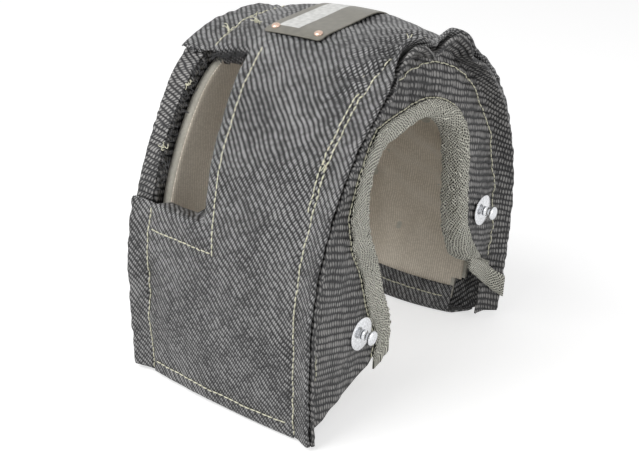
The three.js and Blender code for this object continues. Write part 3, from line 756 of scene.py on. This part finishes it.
for side, name in sides:
    points, uv, keep = panel_sheet(side)
    if side > 0:
        points, uv, keep = flipped(points, uv, keep)
    panel = grid_mesh(f"side_cloth_{name}", points, uv, keep)
    thicken(panel, cloth)
    panel.data.materials.append(charcoal_wide)
    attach(panel, "root")
    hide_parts(f"side_panel_{name}")


# The insulation between the cloths: a needled pad in the band and one in each panel.
# None of it shows.

def speckled(name, roughness, grain, dark, light, low=0.3, high=0.7):
    """A dull finish with a fine uneven grain."""
    material, tree, shader = new_finish(name)
    shader.inputs["Roughness"].default_value = roughness
    place = add_node(tree, "TexCoord").outputs["Object"]
    tinted(tree, shader, noise(tree, place, grain), low, dark, high, light)
    return material


wadding = speckled("needled_wool", 0.95, 900, (0.42, 0.4, 0.34), (0.7, 0.68, 0.6), 0, 1)


def band_sheet(half, depth, angles, margin):
    """Rows of points over the band's wall at one depth, and which squares to keep."""
    x = np.linspace(-half, half, 41)
    angle, across = np.meshgrid(angles, x, indexing="ij")
    out = in_cut(across, angle) < -margin
    points = on_band(across, angle, swell(across, angle) - depth)
    arc = arc_of(angle)
    above_hems = (arc > 19) & (arc < arc_lengths[-1] - 19)
    out &= (np.abs(across) < 36.5) | above_hems
    keep = out[:-1, :-1] & out[1:, :-1] & out[:-1, 1:] & out[1:, 1:]
    uv = np.stack([across, arc], -1)
    return points, uv, keep


def panel_layer(side, depth):
    """Rows of points over a panel's wall at one depth, between opening and seam."""
    lines = PanelLines(side, layer_angles[layer_angles < (190 if side > 0 else 300)])
    from_opening, from_seam = 1.2, 8
    reach = from_opening + (lines.full[:, None] - from_opening - from_seam) * layer_share
    points = lines.points(reach, np.full(reach.shape, depth))
    return points, points[..., 1:].copy()


layer_angles = angle_of(np.arange(4, arc_lengths[-1] - 4, 2.5))
layer_share = np.linspace(0, 1, 22)
points, uv, keep = band_sheet(42.5, wool_depth, layer_angles, 3)
pad = grid_mesh("band_wool", points, uv, keep)
thicken(pad, wool_thickness)
pad.data.materials.append(wadding)
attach(pad, "root")
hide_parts("band_insulation")
for side, name in sides:
    points, uv = panel_layer(side, wool_depth)
    if side > 0:
        points, uv = flipped(points, uv)
    pad = grid_mesh(f"side_wool_{name}", points, uv)
    thicken(pad, wool_thickness)
    pad.data.materials.append(wadding)
    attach(pad, "root")
    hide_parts(f"side_insulation_{name}")


# The lining: fine beige cloth inside the band and inside each panel, a little slack
# between its seams.

# The first colour is the raised yarns with their painted highlight, the second the darker painted
# shade in the grooves.
beige = twill("lining_cloth", (0.92, 0.84, 0.72), (0.60, 0.53, 0.43), 0.5, roughness=0.55,
              turn=0.8, sheen=0.4, depth=0.1)
crease = Ripple(24)
lining_half = 41.9
_, uv, keep = band_sheet(lining_half, lining_depth, layer_angles, 4)
edge = np.minimum(1, (lining_half - np.abs(uv[..., 0])) / 14)
lining_angle = np.broadcast_to(layer_angles[:, None], edge.shape)
foot = smooth(np.minimum(uv[..., 1], arc_lengths[-1] - uv[..., 1]), 20, 36)
slack = 1.1 * (1 + crease(uv[..., 0], uv[..., 1])) * edge * foot
slack *= smooth(-in_cut(uv[..., 0], lining_angle), 22, 34)
lining_out = swell(uv[..., 0], lining_angle) - lining_depth - slack
points = on_band(uv[..., 0], lining_angle, lining_out)
lining = grid_mesh("band_lining_cloth", *flipped(points, uv, keep))
thicken(lining, lining_thickness)
lining.data.materials.append(beige)
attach(lining, "root")
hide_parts("band_lining")
for side, name in sides:
    points, uv = panel_layer(side, lining_depth + 0.1)
    inward = np.sin(np.linspace(0, math.pi, len(layer_share))) ** 2
    points[..., 0] -= side * 0.5 * (1 + crease(uv[..., 0] + 80, uv[..., 1])) * inward
    if side < 0:
        points, uv = flipped(points, uv)
    lining = grid_mesh(f"side_lining_cloth_{name}", points, uv)
    thicken(lining, lining_thickness)
    lining.data.materials.append(beige)
    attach(lining, "root")
    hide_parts(f"side_lining_{name}")


# The wire mesh: a knitted strip folded over the edge of each opening. On the right
# its end is laid out flat over the welt of the rear leg.

def knit(name):
    """Knitted wire: slanting strands that cross, with the gaps between them painted near black as
    shade.
    """
    material, tree, shader = new_finish(name)
    shader.inputs["Roughness"].default_value = 0.5
    shader.inputs["Metallic"].default_value = 0.35
    math_node = maths(tree)
    uv = cloth_map(tree)
    parted = add_node(tree, "SeparateXYZ", Vector=uv)
    wander = math_node("SUBTRACT", noise(tree, uv, 2.5), 0.5)
    drift = math_node("MULTIPLY", wander, 4.0)
    u = math_node("MULTIPLY_ADD", parted.outputs["X"], 15.0, drift)
    v = math_node("MULTIPLY_ADD", parted.outputs["Y"], 18.0, drift)
    rise_a = math_node("ABSOLUTE", math_node("SINE", math_node("ADD", u, v)))
    rise_b = math_node("ABSOLUTE", math_node("SINE", math_node("SUBTRACT", u, v)))
    uneven = math_node("SUBTRACT", noise(tree, uv, 14, 3), 0.5)
    gap = math_node("MULTIPLY_ADD", uneven, 0.5, math_node("MINIMUM", rise_a, rise_b))
    # the strands take the pale colour, and the gaps near black as painted shade in the holes of the
    # knit
    tinted(tree, shader, gap, 0.22, (0.74, 0.73, 0.64), 0.72, (0.05, 0.048, 0.04))
    embossed(tree, shader, gap, 0.0006, invert=True)
    return material


wire = knit("knitted_wire")
puff = Ripple(5.5)


def knitted(points, run, height, start):
    """Puffs up the loops of a tube unevenly. It gives them back with their map."""
    girth = np.linalg.norm(np.roll(points, -1, 1) - points, axis=2).cumsum(1)
    uv = np.stack([np.broadcast_to(run[:, None], girth.shape), girth], -1)
    away = points - points.mean(1, keepdims=True)
    away /= np.linalg.norm(away, axis=2, keepdims=True)
    return points + away * (height * puff(uv[..., 0] + start, uv[..., 1]))[..., None], uv


def trim_rings(side):
    """Closed loops of points round the folded strip, with its map."""
    stop = 194 if side > 0 else last_angle + 1.2
    angles = np.arange(first_angle - 1.2, stop, 0.55)
    within = np.clip(angles, first_angle, last_angle)
    lines = PanelLines(side, within)
    n, t, gap = len(angles), 1.9, 0.35
    depth_in = 9.3
    outside, inside = lines.outside, lines.inside
    ring = [(0, 0.1), (outside * 0.5, 0.1), (outside, 0.15), (outside + 0.3, t * 0.5),
            (outside - 0.6, t * 0.95), (outside * 0.5, t), (1, t), (-gap - t * 0.6, t * 0.4)]
    back = [(-gap - t * 1.1, -3), (-gap - t * 1.1, -6), (-gap - t * 0.7, -depth_in - t * 0.4),
            (1, -depth_in - t), (inside * 0.5, -depth_in - t), (inside, -depth_in - t * 0.6),
            (inside, -depth_in - 0.1), (0, -depth_in - 0.1), (-gap, -6), (-gap, -2)]
    reach = np.stack([np.broadcast_to(r, n) for r, _ in ring + back], 1).astype(float)
    lift = np.array([h for _, h in ring + back], float)
    flat = lines.inner[:, None] + np.where(
        reach[..., None] > 0, lines.across[:, None] * reach[..., None],
        lines.into[:, None] * reach[..., None])
    flat[..., 1] -= 4 * np.abs(angles - within)[:, None]
    lift = lift + np.where(lift > 0, 0.35, 0)
    x = side * (lines.face_x[:, None] + lines.swell(reach) + lift)
    points = cut_corners(np.concatenate([x[..., None], flat], -1), 2, closed=True)
    run = np.concatenate([[0], np.cumsum(np.hypot(*np.diff(lines.inner, axis=0).T))])
    return knitted(points, run, 0.28, 0)


def capped(piece):
    """Closes the open ends of a tube."""
    only(piece)
    bpy.ops.object.mode_set(mode="EDIT")
    bpy.ops.mesh.select_all(action="SELECT")
    bpy.ops.mesh.fill_holes(sides=0)
    bpy.ops.mesh.normals_make_consistent(inside=False)
    bpy.ops.object.mode_set(mode="OBJECT")
    piece.select_set(False)


def tail_rings():
    """Closed loops round the strip's end that lies over the rear welt."""
    x, tilt, length, splay = (float(v) for v in seam(1, 190.0))
    foot_y = float(face(197.5, 0)[0])
    lean = tilt - splay
    hx, hy = math.cos(lean), math.sin(lean)
    start = 2 * 2.4 + 4 * 0.3

    def at(reach, deep):
        """A point along the welt, x and y, at a distance out and a height above it."""
        return (x + hy * (start + deep) + hx * reach, foot_y - hx * (start + deep) + hy * reach)

    top = x + 3 + 0.3
    t = 1.8
    low = np.array([(top + 0.9, 60), (top + 0.9, 72), (top + 0.8, 82), at(1.5, 0.2),
                    at(length * 0.55, 0.2), at(length + 1.2, 0.2)])
    high = np.array([(top + 0.9 + t, 60), (top + 0.9 + t, 72), (top + 0.8 + t, 80.5),
                     at(1, t + 0.2), at(length * 0.55, t + 0.2), at(length + 1.2, t)])
    level = spring - np.array([12, 22, 29, 34, 37, 40])
    loops = []
    for (a, b), (c, d), z in zip(low, high, level):
        loops.append([(a, b, z - 6.5), ((a + c) / 2, (b + d) / 2, z - 7.2), (c, d, z - 6.0),
                      (c, d, z - 2), (c, d, z + 2), (c, d, z + 6.0),
                      ((a + c) / 2, (b + d) / 2, z + 7.2), (a, b, z + 6.5), (a, b, z)])
    loops = np.array(loops)
    loops = cut_corners(loops.transpose(1, 0, 2), 3).transpose(1, 0, 2)
    loops = cut_corners(loops, 2, closed=True)
    run = np.linalg.norm(np.diff(loops.mean(1), axis=0), axis=1).cumsum()
    return knitted(loops, np.concatenate([[0], run]), 0.2, 50)


for side, name in sides:
    points, uv = trim_rings(side)
    trim = grid_mesh(f"wire_mesh_{name}", points, uv, closed=True)
    capped(trim)
    if side > 0:
        points, uv = tail_rings()
        tail = grid_mesh("wire_mesh_tail", points, uv, closed=True)
        capped(tail)
        tail.select_set(True)
        trim.select_set(True)
        bpy.context.view_layer.objects.active = trim
        bpy.ops.object.join()
        trim.select_set(False)
    trim.data.materials.append(wire)
    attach(trim, "root")
    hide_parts(f"mesh_trim_{name}")


# The name plate: thin olive-brown sheet metal with a plain pale field, curved over
# the crown and held by four rivets at its corners.

def metal(name, colour, roughness, grain, metallic=1.0):
    """Metal with a fine uneven grain."""
    material, tree, shader = new_finish(name)
    shader.inputs["Metallic"].default_value = metallic
    place = add_node(tree, "TexCoord").outputs["Object"]
    speck = noise(tree, place, grain, 4)
    tinted(tree, shader, speck, 0.3, [c * 0.8 for c in colour],
           0.7, [min(1, c * 1.12) for c in colour])
    rough = add_node(tree, "MapRange", Value=speck,
                     To_Min=roughness * 0.8, To_Max=roughness * 1.25)
    tree.links.new(rough.outputs["Result"], shader.inputs["Roughness"])
    return material


def top_place(u, v, out):
    """A point over the crown, in the plate's own directions."""
    turn = math.radians(1)
    x = -7.5 + u * math.cos(turn) - v * math.sin(turn)
    y = 4 + u * math.sin(turn) + v * math.cos(turn)
    angle = math.degrees(math.acos(-y / half_depth))
    return on_band(x, angle, float(swell(np.array(x), np.array(angle))) + out)


plate_width, plate_length, plate_corner = 36, 64, 2
bpy.ops.mesh.primitive_grid_add(x_subdivisions=36, y_subdivisions=64, size=1)
plate = bpy.context.object
plate.name = plate.data.name = "name_plate_sheet"
for face_of in plate.data.polygons:
    near = face_of.center
    face_of.material_index = int(-0.36 < near.x < 0.0 and abs(near.y) < 0.4)
for vertex in plate.data.vertices:
    u, v = vertex.co.x * plate_width, vertex.co.y * plate_length
    square_u, square_v = plate_width / 2 - plate_corner, plate_length / 2 - plate_corner
    corner_u, corner_v = abs(u) - square_u, abs(v) - square_v
    if corner_u > 0 and corner_v > 0 and math.hypot(corner_u, corner_v) > plate_corner:
        scale = plate_corner / math.hypot(corner_u, corner_v)
        u = math.copysign(square_u + corner_u * scale, u)
        v = math.copysign(square_v + corner_v * scale, v)
    place = top_place(u, v, 0.75)
    vertex.co = [(p + q) * 0.001 for p, q in zip(place, shift)]
plate_wall = plate.modifiers.new("wall", "SOLIDIFY")
plate_wall.thickness = 0.0008
plate_wall.offset = 1
bpy.ops.object.modifier_apply(modifier="wall")
plate_edge = plate.modifiers.new("edge", "BEVEL")
plate_edge.width = 0.00018
plate_edge.segments = 2
plate_edge.limit_method = "ANGLE"
plate_edge.angle_limit = math.radians(50)
bpy.ops.object.modifier_apply(modifier="edge")
bpy.ops.object.shade_smooth_by_angle(angle=math.radians(35))
plate.data.materials.append(metal("olive_plate", (0.21, 0.2, 0.17), 0.4, 260, 0.5))
plate.data.materials.append(metal("pale_field", (0.62, 0.62, 0.6), 0.45, 400, 0.1))
plate.select_set(False)
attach(plate, "root")
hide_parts("name_plate")

copper = metal("pale_copper", (0.72, 0.52, 0.42), 0.35, 700)
number = 0
for u in (-1, 1):
    for v in (-1, 1):
        number += 1
        bpy.ops.mesh.primitive_uv_sphere_add(segments=28, ring_count=14, radius=1)
        rivet = bpy.context.object
        rivet.name = rivet.data.name = f"plate_rivet_head_{number}"
        bpy.ops.object.mode_set(mode="EDIT")
        bpy.ops.transform.resize(value=(0.0023, 0.0023, 0.0012))
        rivet_u, rivet_v = u * 13.5, v * 27.5
        base = top_place(rivet_u, rivet_v, 1.75)
        up = top_place(rivet_u, rivet_v, 9.0) - base
        lean = math.atan2(up[1], up[2])
        bpy.ops.transform.rotate(value=lean, orient_axis="X", center_override=(0, 0, 0))
        bpy.ops.transform.translate(value=[(p + q) * 0.001 for p, q in zip(base, shift)])
        bpy.ops.object.mode_set(mode="OBJECT")
        bpy.ops.object.shade_smooth()
        rivet.data.materials.append(copper)
        rivet.select_set(False)
        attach(rivet, "root")
        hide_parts(f"plate_rivet_{number}")


# The lacing studs: a dished washer on the cloth, a turned spool through the wall and
# a flat washer behind it, in bright steel.

def spun(name, profile, material):
    """A turned piece about X, from a profile of distance along X and radius."""
    mesh = bpy.data.meshes.new(name)
    mesh.from_pydata([(x * 0.001, 0, r * 0.001) for x, r in profile],
                     [(i, i + 1) for i in range(len(profile) - 1)], [])
    piece = new_object(name, mesh)
    only(piece)
    bpy.ops.object.mode_set(mode="EDIT")
    bpy.ops.mesh.select_all(action="SELECT")
    bpy.ops.mesh.spin(steps=48, angle=math.tau, center=(0, 0, 0), axis=(1, 0, 0))
    bpy.ops.mesh.select_all(action="SELECT")
    bpy.ops.mesh.remove_doubles(threshold=0.00001)
    bpy.ops.mesh.normals_make_consistent(inside=False)
    bpy.ops.object.mode_set(mode="OBJECT")
    bpy.ops.object.shade_smooth_by_angle(angle=math.radians(38))
    piece.data.materials.append(material)
    piece.select_set(False)
    return piece


def placed(piece, name, side, x, y, z):
    """A copy with its own mesh, turned to its side and moved to its place."""
    copy = piece.copy()
    copy.data = piece.data.copy()
    copy.name = copy.data.name = name
    bpy.context.scene.collection.objects.link(copy)
    spot = Vector((side * x, y, z)) + Vector(shift)
    turned = Matrix.Rotation(0 if side > 0 else math.pi, 4, "Z")
    copy.data.transform(Matrix.Translation(spot * 0.001) @ turned)
    return copy


steel = metal("bright_steel", (0.74, 0.75, 0.77), 0.2, 900)
washer = spun("washer", [
    (1.0, 2.0), (1.9, 2.0), (1.85, 3.6), (1.3, 6.5), (0.9, 8.4), (0.7, 8.9), (0.4, 9.0),
    (0.1, 8.9), (0.0, 8.5), (0.45, 6), (0.8, 4), (1.0, 2.0)], steel)
spool = spun("spool", [
    (-12.9, 0.0), (-12.9, 3.0), (-12.2, 3.2), (-12.1, 1.7), (2.2, 1.7), (2.2, 2.8), (2.8, 2.9),
    (3.4, 2.2), (3.9, 2.05), (5.2, 2.05), (5.9, 2.4), (6.1, 3.3), (6.5, 3.9), (7.3, 4.0),
    (7.9, 3.7), (8.3, 2.9), (8.35, 0.0)], steel)
backing = spun("backing", [
    (-11.7, 2.0), (-10.9, 2.0), (-10.9, 6.8), (-11.1, 7.0), (-11.6, 7.0), (-11.7, 6.8),
    (-11.7, 2.0)], steel)


def face_at(side, y, z):
    """How far out a panel's face lies at one place."""
    angles = np.linspace(first_angle, last_angle, 400)
    lines = PanelLines(side, angles)
    reach = lines.full[:, None] * np.linspace(0, 1, 60)
    points = lines.points(reach, np.zeros(reach.shape)).reshape(-1, 3)
    return abs(points[np.hypot(points[:, 1] - y, points[:, 2] - z).argmin(), 0])


stud_places = (("front", -46, 44), ("rear", 67, 77))
for side, name in sides:
    for end, y, z in stud_places:
        x = face_at(side, y, z) + 0.6
        for model, label, node in ((washer, "washer", "stud_washer"),
                                   (spool, "spool", "stud_capstan"),
                                   (backing, "backing", "stud_backing")):
            piece = placed(model, f"stud_{label}_{name}_{end}", side, x, y, z)
            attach(piece, "root")
            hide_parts(f"{node}_{name}_{end}")
for model in (washer, spool, backing):
    bpy.data.objects.remove(model)


# The sewing: cream thread along every seam, hem and bound edge. One stitch is
# modelled and laid out along each line, a little uneven.

bpy.ops.mesh.primitive_uv_sphere_add(segments=8, ring_count=6, radius=1)
stitch = bpy.context.object
stitch.name = "stitch"
bpy.ops.object.mode_set(mode="EDIT")
bpy.ops.transform.resize(value=(0.0013, 0.00038, 0.00038))
bpy.ops.object.mode_set(mode="OBJECT")
stitch_points = np.array([v.co[:] for v in stitch.data.vertices])
stitch_faces = [list(p.vertices) for p in stitch.data.polygons]
stitch_points[:, 2] -= 90 * stitch_points[:, 0] ** 2


def surface_of(name):
    """A piece's surface, for rays to hit."""
    piece = bpy.data.objects[name]
    return BVHTree.FromPolygons([v.co[:] for v in piece.data.vertices],
                                [p.vertices[:] for p in piece.data.polygons])


def sewn(name, surface, path, normals, pitch, colour, size=1.0):
    """Stitches along a path on a cloth. Path in millimetres, with its normals."""
    path = np.asarray(path, float)
    run = np.concatenate([[0], np.linalg.norm(np.diff(path, axis=0), axis=1).cumsum()])
    verts, faces = [], []
    for start in np.arange(pitch * 0.5, run[-1] - pitch * 0.5, pitch):
        ends = []
        for offset in (-0.4, 0.4):
            at = start + pitch * offset
            spot = np.array([np.interp(at, run, path[:, k]) for k in range(3)])
            normal = np.array([np.interp(at, run, normals[:, k]) for k in range(3)])
            normal /= np.linalg.norm(normal)
            spot = (spot + shift) * 0.001 + random.normal(0, 0.00012, 3)
            hit = surface.ray_cast(Vector(spot + normal * 0.006), Vector(-normal), 0.016)
            if hit[0] is None:
                break
            ends.append(np.array(hit[0]) + normal * 0.00015)
        if len(ends) < 2:
            continue
        along = ends[1] - ends[0]
        length = np.linalg.norm(along)
        along /= length
        side_way = np.cross(normal, along)
        side_way /= np.linalg.norm(side_way)
        up = np.cross(along, side_way)
        frame_axes = np.stack([along * length / 0.0021, side_way * size, up * size])
        middle_spot = (ends[0] + ends[1]) / 2 + up * 0.00025 * size
        first = len(verts)
        verts.extend((stitch_points @ frame_axes + middle_spot).tolist())
        faces.extend([[first + i for i in f] for f in stitch_faces])
    mesh = bpy.data.meshes.new(name)
    mesh.from_pydata(verts, [], faces)
    mesh.shade_smooth()
    piece = new_object(name, mesh)
    mesh.materials.append(colour)
    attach(piece, "root")
    return piece


def thread(name, colour):
    """Dull twisted yarn with a fine uneven grain, its darker flecks painted as shade in the
    grooves.
    """
    return speckled(name, 0.7, 1500, [c * 0.6 for c in colour], colour)


cream = thread("cream_thread", (0.82, 0.8, 0.62))
band_surface = surface_of("band_cloth")


def band_line(x, angle, out=1.0):
    """A line on the band's face, with its normals."""
    x, angle = np.broadcast_arrays(np.asarray(x, float), np.asarray(angle, float))
    path = on_band(x, angle, swell(x, angle) + out)
    normals = on_band(x, angle, swell(x, angle) + out + 5) - path
    return path, normals


def band_seam(name, x, angle, pitch=3.3, size=1.0):
    """Stitches along a line on the band's face."""
    sewn(name, band_surface, *band_line(x, angle), pitch, cream, size)


seam_angles = angle_of(np.arange(3, arc_lengths[-1] - 3, 1.5))
rear_hem_arc = arc_lengths[-1] - rear_hem_line
band_seam("right_seam_thread", stitch_x, seam_angles, size=1.15)
band_seam("left_seam_thread", -stitch_x, seam_angles[seam_angles < 18])
band_seam("left_top_thread", -stitch_x, seam_angles[seam_angles > 64])
doubled = seam_angles[(seam_angles > 28) & (seam_angles < 62)]
band_seam("right_second_thread", 46.6, doubled)
band_seam("front_hem_thread", np.linspace(-46, 46, 60), angle_of(front_hem_line), 3.6)
band_seam("rear_hem_thread", np.linspace(-46, 48, 60), angle_of(rear_hem_arc), 3.6)
inner_path, inner_normals = band_line(
    np.linspace(-34, 34, 50), angle_of(rear_hem_arc - 1), -wall_depth - 1.5)
sewn("rear_inner_thread", band_surface, inner_path, -inner_normals, 3.6, cream)
band_seam("cutout_low_thread", np.linspace(-47, -4, 30), cut_stitch_angle)
rise_angle = np.linspace(12, 68, 60)
band_seam("cutout_side_thread", cut_stitch_x(rise_angle), rise_angle)
for side, name in sides:
    surface = surface_of(f"side_cloth_{name}")
    lines = PanelLines(side, seam_angles)
    out_way = np.tile([side * 1.0, 0, 0], (len(seam_angles), 1))
    for label, reach in (("rim", lines.end - 2.5), ("trim", lines.outside + 0.8)):
        path = lines.points(reach[:, None], np.full((len(reach), 1), -1.0))[:, 0]
        wide = lines.full > 16
        sewn(f"{name}_{label}_thread", surface, path[wide], out_way[wide], 3.4, cream)
bpy.data.objects.remove(stitch)


# Loose threads: small knots and wisps where the sewing starts and ends, and a frayed
# fringe of dark yarn along the cut-out's upper edge and the panel's rim beside it.

def strands(name, lines, radius, colour):
    """Thin yarns along lines of points in metres, as one piece."""
    curve = bpy.data.curves.new(name, "CURVE")
    curve.dimensions = "3D"
    curve.bevel_depth = radius
    curve.bevel_resolution = 1
    curve.resolution_u = 3
    for line in lines:
        spline = curve.splines.new("NURBS")
        spline.points.add(len(line) - 1)
        for point, spot in zip(spline.points, line):
            point.co = (*spot, 1)
        spline.use_endpoint_u = True
        spline.order_u = 3
    only(new_object(name, curve))
    bpy.ops.object.convert(target="MESH")
    piece = bpy.context.object
    piece.name = piece.data.name = name
    piece.select_set(False)
    piece.data.materials.append(colour)
    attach(piece, "root")
    return piece


def wisp(start, heading, length, curl):
    """One loose yarn: it sets off one way and curls at random."""
    points = [np.array(start, float)]
    way = np.array(heading, float) / np.linalg.norm(heading)
    for _ in range(6):
        way = way + random.normal(0, curl, 3)
        way /= np.linalg.norm(way)
        points.append(points[-1] + way * length / 6)
    return points


def cloth_spot(x, angle, out):
    """A point on the band's cloth, or a little off it, in metres."""
    x, angle = np.array(x, float), np.array(angle, float)
    return (on_band(x, angle, swell(x, angle) + out) + shift) * 0.001


knots = []
for x, angle in ((-38, 78), (-36, 76), (-47, 71), (-48, 50), (-47.5, 33), (49, 40), (47, 86)):
    spot = cloth_spot(x, angle, 1.2)
    for _ in range(5):
        knots.append(wisp(spot, random.normal(0, 1, 3) + [0, -0.4, 0.6], 0.005, 0.9))
strands("loose_ends", knots, 0.00022, cream)
dark = thread("dark_yarn", (0.05, 0.05, 0.052))
fringe = []
for x in np.linspace(-50, -25, 90):
    x += random.normal(0, 0.2)
    right = -26.0
    drop = 3 * np.clip((right - x) / (right + seam_x), 0, 1.4)
    edge_angle = float(angle_of(arc_of(cut_high - drop) - 0.8))
    spot = cloth_spot(x, edge_angle, -random.uniform(0.8, 4))
    heading = (random.normal(0, 0.5), -0.5, -0.8)
    fringe.append(wisp(spot, heading, random.uniform(0.002, 0.0055), 0.35))
for angle in np.linspace(22, 60, 120):
    x = -(float(seam(-1, angle)[0]) + 3) + random.uniform(1, 6)
    spot = (on_band(np.array(x), np.array(angle + random.normal(0, 0.3)), -3.4) + shift) * 0.001
    fringe.append(wisp(spot, (random.uniform(0.2, 1), -0.5, random.normal(0, 0.6)),
                       random.uniform(0.002, 0.006), 0.5))
strands("frayed_yarn", fringe, 0.0002, dark)
